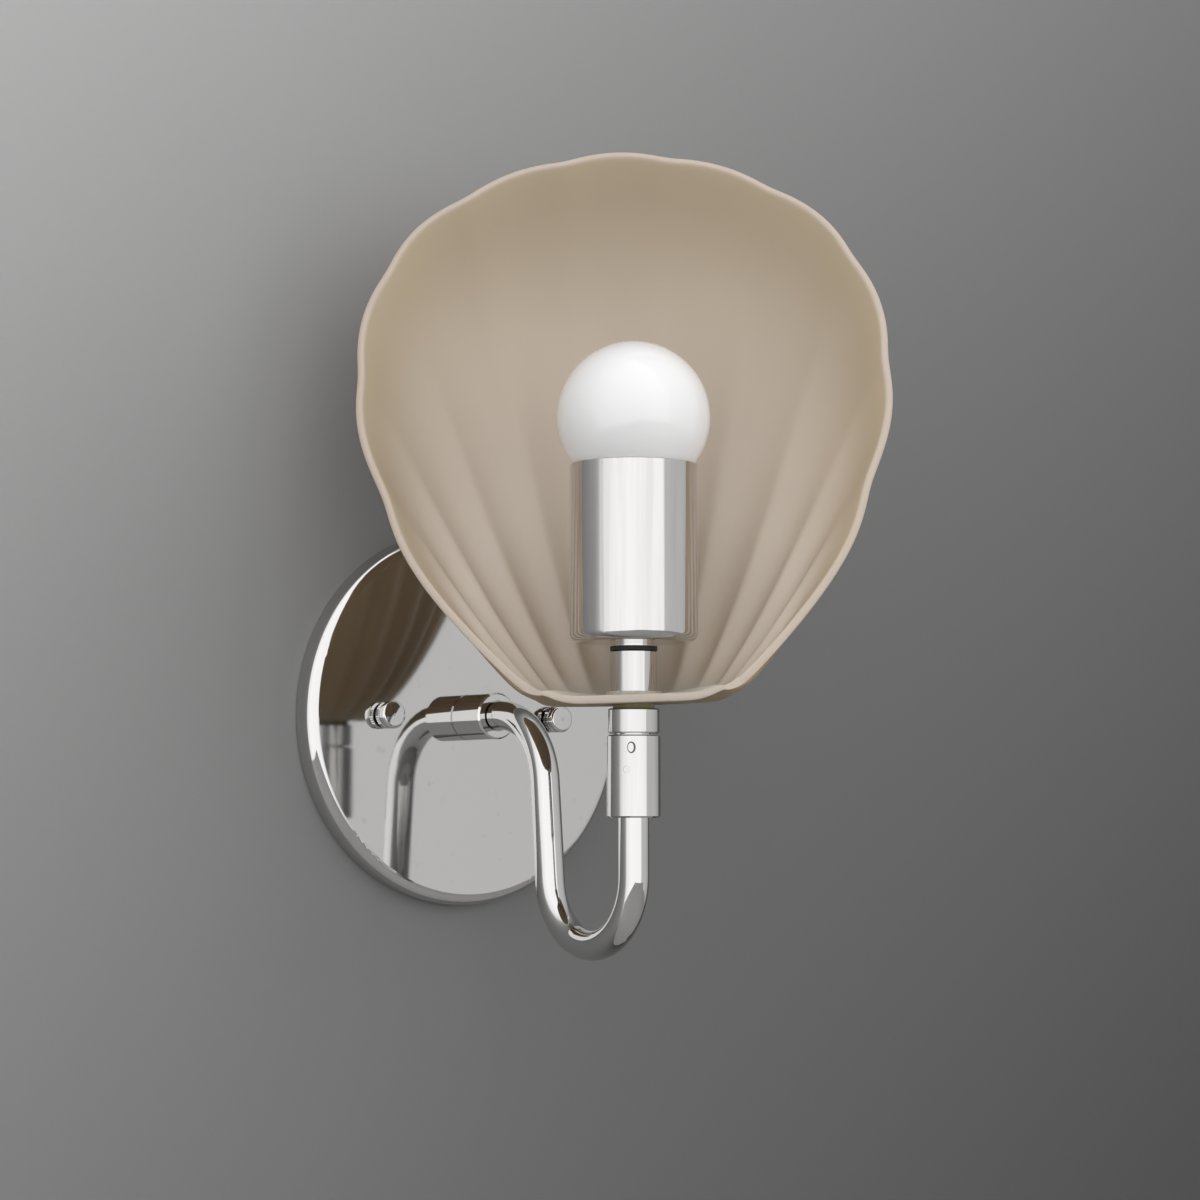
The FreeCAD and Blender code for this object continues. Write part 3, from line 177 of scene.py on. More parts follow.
def make_camera():
    """The photograph's view."""
    data = bpy.data.cameras.new("camera")
    data.sensor_width = SENSOR_MM
    data.lens = FOCAL_PX / PICTURE_PX * SENSOR_MM
    camera = bpy.data.objects.new("camera", data)
    yaw, rise = math.radians(CAMERA_YAW_DEG), math.radians(CAMERA_RISE_DEG)
    look = Vector((math.sin(yaw) * math.cos(rise), math.cos(yaw) * math.cos(rise), math.sin(rise)))
    camera.location = CAMERA_PLACE
    camera.rotation_euler = look.to_track_quat("-Z", "Y").to_euler()
    scene.collection.objects.link(camera)
    scene.camera = camera


# ---------------------------------------------------------------------------------------------------
# Studio: a room of soft light, a weak fill, the wall and the floor
# ---------------------------------------------------------------------------------------------------

# degrees to the right of straight out from the wall, and the brightness there
ROOM_LEVELS = (
    (-101.16, 0.30), (-96.84, 1.12), (-60.0, 1.40), (16.84, 1.33),
    (21.16, 0.70), (62.0, 0.63), (102.0, 0.30),
)
FILL_PLACE = (1.0, -1.15, 0.35)
FILL_TARGET = (-0.04, -0.09, 0.10)
FILL_SIZE = 0.9
FILL_POWER = 5.0

WALL_Y = 0.0002
WALL_HALF_WIDTH = 2.5
WALL_TOP = 2.2
WALL_ROUGHNESS = 0.9
WALL_LEVEL = 0.204
# painted light on the wall: its grey is scaled by exp of this slope, paler toward the upper left
WALL_PAINTED_LIGHT_SLOPE = (-2.0, 0.0, 1.9)
WALL_GRAIN_SCALE = 900.0
WALL_GRAIN_STRENGTH = 0.12
WALL_GRAIN_DEPTH = 0.0006
BOX_RADIUS = 0.056
BOX_STEPS = 12
FLOOR_HEIGHT = -0.9
FLOOR_FRONT = -5.0
FLOOR_BACK = 0.3
FLOOR_COLOUR = (0.42, 0.415, 0.41)
FLOOR_ROUGHNESS = 0.8


def make_world():
    """A room that is bright from the left to just past the front, grey at the right, dim behind."""
    world = bpy.data.worlds.new("studio")
    scene.world = world
    world.use_nodes = True
    tree = world.node_tree
    tree.nodes.clear()
    place = tree.nodes.new("ShaderNodeTexCoord")
    parts = tree.nodes.new("ShaderNodeSeparateXYZ")
    tree.links.new(place.outputs["Generated"], parts.inputs[0])
    front = node(tree, "ShaderNodeMath", operation="MULTIPLY")
    front.inputs[1].default_value = -1.0
    tree.links.new(parts.outputs["Y"], front.inputs[0])
    turn = node(tree, "ShaderNodeMath", operation="ARCTAN2")
    tree.links.new(parts.outputs["X"], turn.inputs[0])
    tree.links.new(front.outputs[0], turn.inputs[1])
    share = remap(tree, turn.outputs[0], From__Min=-math.pi, From__Max=math.pi)
    around = ramp(tree, share, [((turned + 180.0) / 360.0, grey(level)) for turned, level in ROOM_LEVELS])
    back = tree.nodes.new("ShaderNodeBackground")
    tree.links.new(around, back.inputs["Color"])
    out = tree.nodes.new("ShaderNodeOutputWorld")
    tree.links.new(back.outputs[0], out.inputs["Surface"])


def make_fill():
    """A weak soft box at the right, which the metal doesn't mirror."""
    data = bpy.data.lights.new("fill", "AREA")
    data.shape = "RECTANGLE"
    data.size = data.size_y = FILL_SIZE
    data.energy = FILL_POWER
    lamp = bpy.data.objects.new("fill", data)
    lamp.location = FILL_PLACE
    aim = Vector(FILL_TARGET) - Vector(FILL_PLACE)
    lamp.rotation_euler = aim.to_track_quat("-Z", "Y").to_euler()
    lamp.visible_glossy = False
    scene.collection.objects.link(lamp)


def wall_paint_and_painted_light():
    """Wall paint, with painted light that makes it paler toward the upper left, and a fine roller texture;
    clear from behind.
    """
    material, shader = principled("wall_paint_and_painted_light", Roughness=WALL_ROUGHNESS)
    tree = material.node_tree
    place = object_place(tree)
    # painted light: the base colour grows paler toward the upper left
    painted_light_slope = node(tree, "ShaderNodeVectorMath", operation="DOT_PRODUCT")
    painted_light_slope.inputs[1].default_value = WALL_PAINTED_LIGHT_SLOPE
    tree.links.new(place, painted_light_slope.inputs[0])
    share = node(tree, "ShaderNodeMath", operation="EXPONENT")
    tree.links.new(painted_light_slope.outputs["Value"], share.inputs[0])
    level = node(tree, "ShaderNodeMath", operation="MULTIPLY", use_clamp=True)
    level.inputs[1].default_value = WALL_LEVEL
    tree.links.new(share.outputs[0], level.inputs[0])
    tree.links.new(level.outputs[0], shader.inputs["Base Color"])
    grain = noise(tree, place, WALL_GRAIN_SCALE, 3.0)
    roughen(tree, shader, grain, WALL_GRAIN_STRENGTH, WALL_GRAIN_DEPTH)
    facing = tree.nodes.new("ShaderNodeNewGeometry")
    clear = tree.nodes.new("ShaderNodeBsdfTransparent")
    share_clear = mixed_surface(tree, shader.outputs[0], clear.outputs[0])
    tree.links.new(facing.outputs["Backfacing"], share_clear)
    return material


def plane(name, corners, material):
    """A flat stage piece from its corners."""
    mesh_object(name, corners, [tuple(range(len(corners)))], material)


def make_stage():
    """The wall, open where the canopy covers the wall box, and a pale floor."""
    wide, top, low = WALL_HALF_WIDTH, WALL_TOP, FLOOR_HEIGHT
    paint = wall_paint_and_painted_light()
    rim = [(wide, top), (-wide, top), (-wide, low), (wide, low)]
    for k, ((x, z), (next_x, next_z)) in enumerate(zip(rim, rim[1:] + rim[:1])):
        turns = [math.pi / 4 + math.pi / 2 * (k + n / BOX_STEPS) for n in range(BOX_STEPS, -1, -1)]
        opening = [(BOX_RADIUS * math.cos(turn), WALL_Y, BOX_RADIUS * math.sin(turn)) for turn in turns]
        plane(f"wall_{k + 1}", [(next_x, WALL_Y, next_z), *opening, (x, WALL_Y, z)], paint)
    floor, _ = principled("floor_paint", Base__Color=(*FLOOR_COLOUR, 1.0), Roughness=FLOOR_ROUGHNESS)
    plane("floor", [(-wide, FLOOR_FRONT, low), (wide, FLOOR_FRONT, low),
                    (wide, FLOOR_BACK, low), (-wide, FLOOR_BACK, low)], floor)


# ---------------------------------------------------------------------------------------------------
# Materials
# ---------------------------------------------------------------------------------------------------

NICKEL = (0.665, 0.658, 0.650)
# the brown that random specks on the metal are mixed toward
SPECK_BROWN = (0.40, 0.32, 0.25)
# painted shade: the dark colour of the punched mark's burr, for the shade in the dent
PUNCH_MARK_PAINTED_SHADE = (0.13, 0.12, 0.11)
GLOSS_SCALE = 60.0
MARKS_SCALE = 2200.0
MARKS_DEPTH = 0.0001
# darker streaks along the drawn axis: painted reflection of the shell's shaded underside
REFLECTION_STREAKS_SCALE = 900.0
REFLECTION_STREAKS_FROM, REFLECTION_STREAKS_TO = 0.36, 0.62
SPECKS_SCALE = 210.0
SPECKS_FROM, SPECKS_TO = 0.66, 0.76
EVEN_MARKS = (1.0, 1.0, 1.0)
UPRIGHT_MARKS = (0.35, 0.35, 0.012)

MOULDED_SCALE = 700.0
MOULDED_DEPTH = 0.0002
MOULDED_DARKER, MOULDED_LIGHTER = 0.82, 1.15

# share of the way from the floor to the rim, and the glass's colour there, with painted shade: darker
# toward the floor, darker and olive toward the rim
GLASS_TINTS_WITH_PAINTED_SHADE = (
    (0.0, (0.70, 0.65, 0.565)),
    (0.12, (0.72, 0.63, 0.53)),
    (0.45, (0.82, 0.735, 0.64)),
    (0.72, (0.78, 0.675, 0.56)),
    (0.93, (0.71, 0.61, 0.46)),
)
# painted shade: the outer skin, which lies in shadow toward the wall, is tinted darker
GLASS_BACK_PAINTED_SHADE = (0.62, 0.55, 0.42)
# painted light: the paler colour of the edge, where more light comes through the glass
GLASS_PAINTED_EDGE_LIGHT = (0.78, 0.69, 0.60)
GLASS_PAINTED_EDGE_FROM, GLASS_PAINTED_EDGE_TO = 0.25, 0.95
GLASS_THROUGH = 0.40
GLASS_CLOUD_SCALE = 14.0
GLASS_CLOUD_FROM, GLASS_CLOUD_TO = 0.94, 1.06
GLASS_GRAIN_SCALE = 1500.0
GLASS_GRAIN_DEPTH = 0.0001

OPAL_WHITE = 0.87
OPAL_DIMMER = 0.985
OPAL_CLOUD_SCALE = 30.0
OPAL_CLOUD_DEPTH = 0.0002

CLOUD_FROM, CLOUD_TO = 0.3, 0.7


def metal(name, colour, roughness, spread=0.02, scratch=0.02, marks=EVEN_MARKS, brown_specks=0.0, painted_reflection_streaks=0.0):
    """A metal with uneven gloss and polishing marks, drawn out along an axis, and painted reflection as
    darker streaks along that axis, or random brown specks.
    """
    material, shader = principled(name, Base__Color=(*colour, 1.0), Metallic=1.0, Roughness=roughness)
    tree = material.node_tree
    place = object_place(tree)
    gloss = remap(tree, noise(tree, place, GLOSS_SCALE, 4.0),
                  To__Min=max(0.0, roughness - spread), To__Max=roughness + spread)
    tree.links.new(gloss, shader.inputs["Roughness"])
    drawn = node(tree, "ShaderNodeVectorMath", operation="MULTIPLY")
    drawn.inputs[1].default_value = marks
    tree.links.new(place, drawn.inputs[0])
    roughen(tree, shader, noise(tree, drawn.outputs[0], MARKS_SCALE, 2.0), scratch, MARKS_DEPTH)
    # painted reflection: darker streaks drawn out along the axis
    if painted_reflection_streaks:
        darker = tuple(c * (1 - painted_reflection_streaks) for c in colour)
        lines = noise(tree, drawn.outputs[0], REFLECTION_STREAKS_SCALE, 3.0)
        tint = ramp(tree, lines, [(REFLECTION_STREAKS_FROM, darker), (REFLECTION_STREAKS_TO, colour)])
        tree.links.new(tint, shader.inputs["Base Color"])
    # random brown specks mixed into the colour
    if brown_specks:
        specked = tuple(c + (t - c) * brown_specks for c, t in zip(colour, SPECK_BROWN))
        specks = noise(tree, place, SPECKS_SCALE, 4.0)
        tint = ramp(tree, specks, [(SPECKS_FROM, colour), (SPECKS_TO, specked)])
        tree.links.new(tint, shader.inputs["Base Color"])
    return material


def moulded(name, colour, roughness, bump=0.15):
    """A moulded or cut soft material with a fine grain and slight colour change."""
    material, shader = principled(name, Roughness=roughness)
    tree = material.node_tree
    grain = noise(tree, object_place(tree), MOULDED_SCALE, 3.0)
    low = tuple(c * MOULDED_DARKER for c in colour)
    high = tuple(min(1.0, c * MOULDED_LIGHTER) for c in colour)
    tint = ramp(tree, grain, [(CLOUD_FROM, low), (CLOUD_TO, high)])
    tree.links.new(tint, shader.inputs["Base Color"])
    roughen(tree, shader, grain, bump, MOULDED_DEPTH)
    return material


def shell_glass(name):
    """Satin taupe glass, with painted shade that makes it darker toward the floor, darker and olive toward
    the rim and darker on the outer skin, and painted light that makes the edge paler all round.
    """
    material, shader = principled(name, Roughness=0.42, Coat__Weight=0.15, Coat__Roughness=0.35)
    tree = material.node_tree
    place = object_place(tree)
    tint = ramp(tree, attribute(tree, "along"), GLASS_TINTS_WITH_PAINTED_SHADE)
    drift = remap(tree, noise(tree, place, GLASS_CLOUD_SCALE, 2.0),
                  To__Min=GLASS_CLOUD_FROM, To__Max=GLASS_CLOUD_TO)
    shaded = node(tree, "ShaderNodeVectorMath", operation="SCALE")
    tree.links.new(tint, shaded.inputs[0])
    tree.links.new(drift, shaded.inputs["Scale"])
    # painted shade: darker on the outer skin
    back_shade = ramp(tree, attribute(tree, "outer"), [(0.0, grey(1.0)), (1.0, GLASS_BACK_PAINTED_SHADE)])
    seen = node(tree, "ShaderNodeVectorMath", operation="MULTIPLY")
    tree.links.new(shaded.outputs[0], seen.inputs[0])
    tree.links.new(back_shade, seen.inputs[1])
    # painted light: a paler band along the edge
    band = remap(tree, attribute(tree, "edge"), interpolation_type="SMOOTHSTEP",
                 From__Min=GLASS_PAINTED_EDGE_FROM, From__Max=GLASS_PAINTED_EDGE_TO)
    painted_edge_light = node(tree, "ShaderNodeMix", data_type="RGBA")
    tree.links.new(band, painted_edge_light.inputs[0])
    tree.links.new(seen.outputs[0], painted_edge_light.inputs[6])
    painted_edge_light.inputs[7].default_value = (*GLASS_PAINTED_EDGE_LIGHT, 1.0)
    tree.links.new(painted_edge_light.outputs[2], shader.inputs["Base Color"])
    roughen(tree, shader, noise(tree, place, GLASS_GRAIN_SCALE, 2.0), 0.05, GLASS_GRAIN_DEPTH)
    through = tree.nodes.new("ShaderNodeBsdfTranslucent")
    tree.links.new(painted_edge_light.outputs[2], through.inputs["Color"])
    share_through = mixed_surface(tree, shader.outputs[0], through.outputs[0])
    share_through.default_value = GLASS_THROUGH
    return material


def opal_glass(name):
    """Glossy opal white with a trace of unevenness in its coating."""
    material, shader = principled(name, Roughness=0.09, Coat__Weight=0.6, Coat__Roughness=0.03)
    tree = material.node_tree
    cloud = noise(tree, object_place(tree), OPAL_CLOUD_SCALE, 2.0)
    white = ramp(tree, cloud, [(CLOUD_FROM, grey(OPAL_WHITE * OPAL_DIMMER)), (CLOUD_TO, grey(OPAL_WHITE))])
    tree.links.new(white, shader.inputs["Base Color"])
    roughen(tree, shader, cloud, 0.03, OPAL_CLOUD_DEPTH)
    return material


# how each of the record's material slots is made
MATERIALS = {
    "polished_nickel": (metal, dict(colour=NICKEL, roughness=0.05, brown_specks=0.16)),
    "zinc_steel": (metal, dict(colour=(0.62, 0.63, 0.64), roughness=0.32, spread=0.08, scratch=0.15)),
    "earth_green": (metal, dict(colour=(0.09, 0.32, 0.14), roughness=0.35, spread=0.06, scratch=0.1)),
    "yellow_brass": (metal, dict(colour=(0.72, 0.53, 0.24), roughness=0.22, spread=0.06, scratch=0.08)),
    "spring_steel": (metal, dict(colour=(0.38, 0.38, 0.39), roughness=0.30, spread=0.05, scratch=0.1)),
    "olive_fibre": (moulded, dict(colour=(0.25, 0.23, 0.11), roughness=0.6)),
    "frosted_taupe_glass": (shell_glass, {}),
    "clear_gasket": (moulded, dict(colour=(0.45, 0.42, 0.36), roughness=0.35)),
    "dark_rubber": (moulded, dict(colour=(0.02, 0.02, 0.02), roughness=0.6)),
    "moulded_black": (moulded, dict(colour=(0.03, 0.03, 0.032), roughness=0.4)),
    "opal_glass": (opal_glass, {}),
    "plated_cap": (metal, dict(colour=(0.75, 0.75, 0.74), roughness=0.18, spread=0.05, scratch=0.05)),
    "black_glass_button": (moulded, dict(colour=(0.02, 0.02, 0.025), roughness=0.15, bump=0.02)),
    "solder": (metal, dict(colour=(0.66, 0.66, 0.64), roughness=0.35, spread=0.1, scratch=0.2)),
}
DRAWN_PIECES = ("socket_cup", "stem_spacer", "swivel_head", "swivel_body")


def dress_nodes():
    """Gives each CAD node its slot's material; the turned upright tubes show their drawing marks, with
    darker streaks of painted reflection.
    """
    made = {slot: make(slot, **look) for slot, (make, look) in MATERIALS.items()}
    drawn = metal("drawn_nickel_painted_reflections", NICKEL, 0.06, scratch=0.10, marks=UPRIGHT_MARKS, painted_reflection_streaks=0.10)
    for entry in frame["record"]["subparts"]:
        piece = frame["nodes"][entry["node"]]
        look = drawn if entry["node"] in DRAWN_PIECES else made[entry["material_slot"]]
        piece.data.materials.clear()
        piece.data.materials.append(look)
    return made


# ---------------------------------------------------------------------------------------------------
# Fluted glass shell: its solid's formula with wider shoulders and floor, as a closed cage that is
# smoothed, with rounded edges and lip corners
# ---------------------------------------------------------------------------------------------------

# millimetres, radians, and shares of the way from the floor to the rim
GLASS_THICKNESS = 2.8
GLASS_LEAN_DEG = 1.8
GLASS_TURN_DEG = -37.5
GLASS_PLACE = (0.0, -102.0, 1.4)
FLOOR_HALF_WIDTH = 31.0
FLOOR_DEPTH = 26.0
FLOOR_LIP_REACH = 13.0
FLOOR_HOLE_RADIUS = 5.25
CROWN_RADIUS = 88.5
CROWN_HEIGHT = 98.6
FLANK_RADIUS = 240.0
FLANK_FOOT = (37.0, 6.2)
SHOULDER_SWELL = 5.2
SHOULDER_ANGLE = math.radians(54.0)
SHOULDER_SPREAD = math.radians(26.0)
WAIST_DRAW = 2.5
WAIST_ANGLE = math.radians(107.0)
WAIST_SPREAD = math.radians(16.0)
RIM_TOP_DEPTH = 28.0
RIM_RISE_POWER = 0.7
WALL_FOOT_TILT = math.radians(60.0)
RIM_CURL = math.radians(50.0)
RIM_CURL_CHORD = 90.0
FOOT_FULLNESS = 0.18
RIM_FULLNESS = 0.38
FLUTES = 11
FLUTE_DEPTH = 3.0
FLUTE_FADE = 0.55
FLUTE_FADE_AT = 0.84
FLUTE_FADE_REACH = 0.22
FLUTE_FAN = math.radians(126.5)
FLUTE_MEAN = 2 / math.pi
SIDE_FLUTE_POWER = 8
ROWS = 12
STEPS_PER_FLUTE = 6
FLUTE_START_ROWS = 2
SEAT_FADE_POWER = 6
PROBE_STEP = 1e-4
NORMAL_END = 0.93
EDGE_BAND = 2.4
WIDEST_BAND = 0.3
SIDE_BAND = 0.006
# how much of the painted edge light the last rows of the inner and the outer skin get
INNER_EDGE_FADE = [0.0, 0.0, 1.0]
OUTER_EDGE_FADE = [0.45, 0.85, 1.0]
LIP_STEPS = 16
CORNER_DRAW = 3.4
CORNER_REACH = 13.0
CORNER_LEAD = Vector((-0.41, 0.0, 0.91))
FLOOR_RINGS = (0.1, 0.5, 0.9, 1.0)
SMOOTHING_LEVELS = 2


class ShellForm:
    """The shell's formula in millimetres: across the fan from -1 to 1, along from the floor to the rim."""

    def __init__(self):
        foot_x, foot_z = FLANK_FOOT[0], FLANK_FOOT[1] - CROWN_HEIGHT
        self.foot_angle = math.atan2(foot_x, foot_z)
        spread = FLANK_RADIUS - CROWN_RADIUS
        reach = math.hypot(foot_x, foot_z)
        share = (FLANK_RADIUS ** 2 - reach ** 2 - spread ** 2) / (2 * spread * reach)
        self.join_angle = self.foot_angle - math.acos(share)
        turned = Matrix.Rotation(math.radians(GLASS_TURN_DEG), 4, "Z")
        leaning = Matrix.Rotation(-math.radians(GLASS_LEAN_DEG), 4, "Y")
        self.place = Matrix.Translation(GLASS_PLACE) @ turned @ leaning

    def outline(self, angle):
        """The front outline at an angle from the top, as (across, up)."""
        radius = CROWN_RADIUS
        if abs(angle) > self.join_angle:
            spread = FLANK_RADIUS - CROWN_RADIUS
            lean = math.cos(abs(angle) - self.join_angle)
            radius = -spread * lean + math.sqrt(FLANK_RADIUS ** 2 - spread ** 2 * (1 - lean ** 2))
        radius += SHOULDER_SWELL * math.exp(-((abs(angle) - SHOULDER_ANGLE) / SHOULDER_SPREAD) ** 2)
        radius -= WAIST_DRAW * math.exp(-((abs(angle) - WAIST_ANGLE) / WAIST_SPREAD) ** 2)
        return radius * math.sin(angle), CROWN_HEIGHT + radius * math.cos(angle)

    def rim_angle(self, across):
        """How far round the outline a flute ends."""
        side = abs(across)
        angle = FLUTE_FAN * side + (self.foot_angle - FLUTE_FAN) * side ** SIDE_FLUTE_POWER
        return math.copysign(angle, across)

    def foot(self, across):
        """A point on the floor's edge and the level direction away from the floor there."""
        turn = across * math.pi / 2
        place = Vector((FLOOR_HALF_WIDTH * math.sin(turn),
                        FLOOR_DEPTH * math.cos(turn) - FLOOR_LIP_REACH, 0))
        outward = Vector((math.sin(turn) / FLOOR_HALF_WIDTH, math.cos(turn) / FLOOR_DEPTH, 0))
        return place, outward.normalized()

    def smooth(self, across, along):
        """A point of the outside without its flutes."""
        foot, outward = self.foot(across)
        x, z = self.outline(self.rim_angle(across))
        share = z / (CROWN_HEIGHT + CROWN_RADIUS)
        depth = (RIM_TOP_DEPTH + FLOOR_LIP_REACH) * share ** RIM_RISE_POWER - FLOOR_LIP_REACH
        rim = Vector((x, depth, z))
        rising = Vector((x - foot.x, 0, z)).normalized()
        leave = outward * math.sin(WALL_FOOT_TILT) + Vector((0, 0, math.cos(WALL_FOOT_TILT)))
        chord = (rim - foot).length
        curl = RIM_CURL * min(1.0, chord / RIM_CURL_CHORD)
        arrive = rising * math.cos(curl) - Vector((0, math.sin(curl), 0))
        first = foot + leave * (chord * FOOT_FULLNESS)
        second = rim - arrive * (chord * RIM_FULLNESS)
        rest = 1 - along
        return (foot * rest ** 3 + first * (3 * rest ** 2 * along)
                + second * (3 * rest * along ** 2) + rim * along ** 3)

    def flute(self, across, along):
        """How far a point stands out from the smooth shell."""
        swell = abs(math.cos(FLUTES * math.pi * across / 2))
        start = min(1.0, along * ROWS / FLUTE_START_ROWS)
        side = min(1.0, (1 - abs(across)) * FLUTES / 2)
        fade = 1 - FLUTE_FADE * math.exp(-((along - FLUTE_FADE_AT) / FLUTE_FADE_REACH) ** 2)
        return FLUTE_DEPTH * start * side * fade * (swell - FLUTE_MEAN)

    def outward(self, across, along):
        """The unit normal of the smooth shell, away from its hollow."""
        across = max(-NORMAL_END, min(NORMAL_END, across))
        low, high = max(0.0, along - PROBE_STEP), min(1.0, along + PROBE_STEP)
        sideways = self.smooth(across + PROBE_STEP, along) - self.smooth(across - PROBE_STEP, along)
        upward = self.smooth(across, high) - self.smooth(across, low)
        return upward.cross(sideways).normalized()

    def point(self, across, along, inner):
        """A corner of the cage on the outer or the inner skin."""
        normal = self.outward(across, along)
        outside = self.smooth(across, along) + normal * self.flute(across, along)
        if not inner:
            return outside
        foot, level = self.foot(across)
        seat = (foot - level * (GLASS_THICKNESS * math.cos(WALL_FOOT_TILT))
                + Vector((0, 0, GLASS_THICKNESS)))
        slip = seat - (foot - self.outward(across, 0.0) * GLASS_THICKNESS)
        return outside - normal * GLASS_THICKNESS + slip * (1 - along) ** SEAT_FADE_POWER

    def rows(self, across):
        """The steps from the floor to the rim; the last two lie close, for a tightly rounded edge."""
        run = (self.smooth(across, 1.0) - self.smooth(across, 1.0 - PROBE_STEP)).length / PROBE_STEP
        band = min(WIDEST_BAND, EDGE_BAND / run)
        return [(1.0 - band) * j / ROWS for j in range(ROWS + 1)] + [1.0]


class Cage:
    """Collects the shell's corners and faces, and how far up, how near the edge and on which skin each
    corner lies."""

    def __init__(self, form):
        self.form = form
        self.corners, self.along, self.edge, self.outer, self.faces = [], [], [], [], []

    def add(self, point, along, edge, inner):
        """Adds a corner given in the shell's own frame, drawn in where the lip's ends are rounded."""
        side = math.copysign(1.0, point.x)
        near = 1 - (point - Vector((side * FLOOR_HALF_WIDTH, -FLOOR_LIP_REACH, 0))).length / CORNER_REACH
        drawn = CORNER_LEAD * (CORNER_DRAW * max(0.0, near) ** 2)
        moved = point + Vector((side * drawn.x, 0, drawn.z))
        self.corners.append(self.form.place @ moved * TO_METRES)
        self.along.append(along)
        self.edge.append(edge)
        self.outer.append(0.0 if inner else 1.0)
        return len(self.corners) - 1

    def strip(self, first, second):
        """Quads between two closed rings of corners."""
        for k in range(len(first)):
            after = (k + 1) % len(first)
            self.faces.append((first[k], first[after], second[after], second[k]))

    def skin(self, columns, inner):
        """The net of one skin, as a list of columns."""
        net = []
        for i, across in enumerate(columns):
            steps = self.form.rows(across)
            side = i in (0, len(columns) - 1)
            near_edge = INNER_EDGE_FADE if inner else OUTER_EDGE_FADE
            fades = [0.0] * (len(steps) - len(near_edge)) + near_edge
            net.append([self.add(self.form.point(across, along, inner), along, 1.0 if side else fade, inner)
                        for along, fade in zip(steps, fades)])
        for left, right in zip(net, net[1:]):
            for j in range(len(left) - 1):
                quad = (left[j], right[j], right[j + 1], left[j + 1])
                self.faces.append(quad if inner else quad[::-1])
        return net

    def lip(self, net, inner):
        """Corners along the floor's straight front edge, from the right to the left."""
        right, left = self.form.point(1, 0, inner), self.form.point(-1, 0, inner)
        return [self.add(right.lerp(left, k / LIP_STEPS), 0.0, 1.0, inner) for k in range(1, LIP_STEPS)]

    def floor(self, ring, inner):
        """Rings from the floor's outline in to the hole; returns the hole's ring."""
        level = GLASS_THICKNESS if inner else 0.0
        outline = [self.form.place.inverted() @ (self.corners[k] * TO_MILLIMETRES) for k in ring]
        last = ring
        for share in FLOOR_RINGS:
            row = []
            for place in outline:
                hole = Vector((place.x, place.y, 0)).normalized() * FLOOR_HOLE_RADIUS
                hole.z = level
                row.append(self.add(place.lerp(hole, share), 0.0, 0.0, inner))
            if inner:
                self.strip(row, last)
            else:
                self.strip(last, row)
            last = row
        return last


def make_shell(material):
    """The glass as one closed, smoothed mesh that stands for its solid."""
    form = ShellForm()
    cage = Cage(form)
    count = FLUTES * STEPS_PER_FLUTE
    between = [2 * i / count - 1 for i in range(1, count)]
    columns = [-1.0, SIDE_BAND - 1.0, *between, 1.0 - SIDE_BAND, 1.0]
    rings, holes = [], []
    for inner in (False, True):
        net = cage.skin(columns, inner)
        lip = cage.lip(net, inner)
        rings.append(net[0] + [column[-1] for column in net[1:-1]] + net[-1][::-1] + lip)
        holes.append(cage.floor([column[0] for column in net] + lip, inner))
    cage.strip(rings[0], rings[1])
    cage.strip(holes[0], holes[1])
    glass = mesh_object("shell_glass", cage.corners, cage.faces, material)
    mesh = glass.data
    # the attributes place the glass's painted shade and its painted edge light
    for name, values in (("along", cage.along), ("edge", cage.edge), ("outer", cage.outer)):
        mesh.attributes.new(name, "FLOAT", "POINT").data.foreach_set("value", values)
    face_outward(mesh)
    mesh.shade_smooth()
    smooth = glass.modifiers.new("smooth", "SUBSURF")
    smooth.levels = smooth.render_levels = SMOOTHING_LEVELS
    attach(glass, "lamp_head")
    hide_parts("shell_shade")


# ---------------------------------------------------------------------------------------------------
# Nuts: a knurled band, a neck and a turned end, in the place of their solids
# ---------------------------------------------------------------------------------------------------

KNURL_TEETH = 34
KNURL_DEPTH = 0.26
SHARP_EDGE = math.radians(32.0)
# distance from the canopy's side and radius in millimetres; True where the band is knurled
NUT_PROFILE = (
    (5.3, 0.0, False), (5.0, 2.15, False), (0.0, 2.15, False), (0.0, 3.4, False), (0.5, 3.4, False),
    (0.6, 4.3, False), (0.8, 4.6, True), (2.6, 4.6, True), (2.8, 4.0, False), (3.2, 4.0, False),
    (3.4, 4.4, False), (3.6, 4.65, False), (5.2, 4.65, False), (5.5, 4.5, False), (5.75, 4.1, False),
    (5.8, 3.6, False), (5.95, 0.5, False), (5.8, 0.35, False), (5.75, 0.0, False),
)


def make_nut(node_name, body, material):
    """Turns the nut's profile round its axis, with teeth on the knurled band."""
    low, high = (Vector(corner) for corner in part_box(node_name))
    axis = Vector(((low.x + high.x) / 2, high.y, (low.z + high.z) / 2))
    steps = 2 * KNURL_TEETH
    corners, rings, faces = [], [], []
    for depth, radius, knurled in NUT_PROFILE:
        ring = []
        for k in range(steps if radius else 1):
            turn = 2 * math.pi * k / steps
            reach = radius - (KNURL_DEPTH if knurled and k % 2 else 0.0)
            offset = Vector((reach * math.cos(turn), -depth, reach * math.sin(turn)))
            corners.append(axis + offset * TO_METRES)
            ring.append(len(corners) - 1)
        rings.append(ring)
    for first, second in zip(rings, rings[1:]):
        for k in range(steps):
            after = (k + 1) % steps
            quad = [first[k % len(first)], first[after % len(first)],
                    second[after % len(second)], second[k % len(second)]]
            faces.append(tuple(dict.fromkeys(quad)))
    nut = mesh_object(node_name + "_turned", corners, faces, material)
    face_outward(nut.data)
    nut.data.shade_smooth()
    nut.data.set_sharp_from_angle(angle=SHARP_EDGE)
    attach(nut, body)
    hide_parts(node_name)


# ---------------------------------------------------------------------------------------------------
# Arm: its solid's own skin, with the deep bend a little higher, as the photograph shows it
# ---------------------------------------------------------------------------------------------------

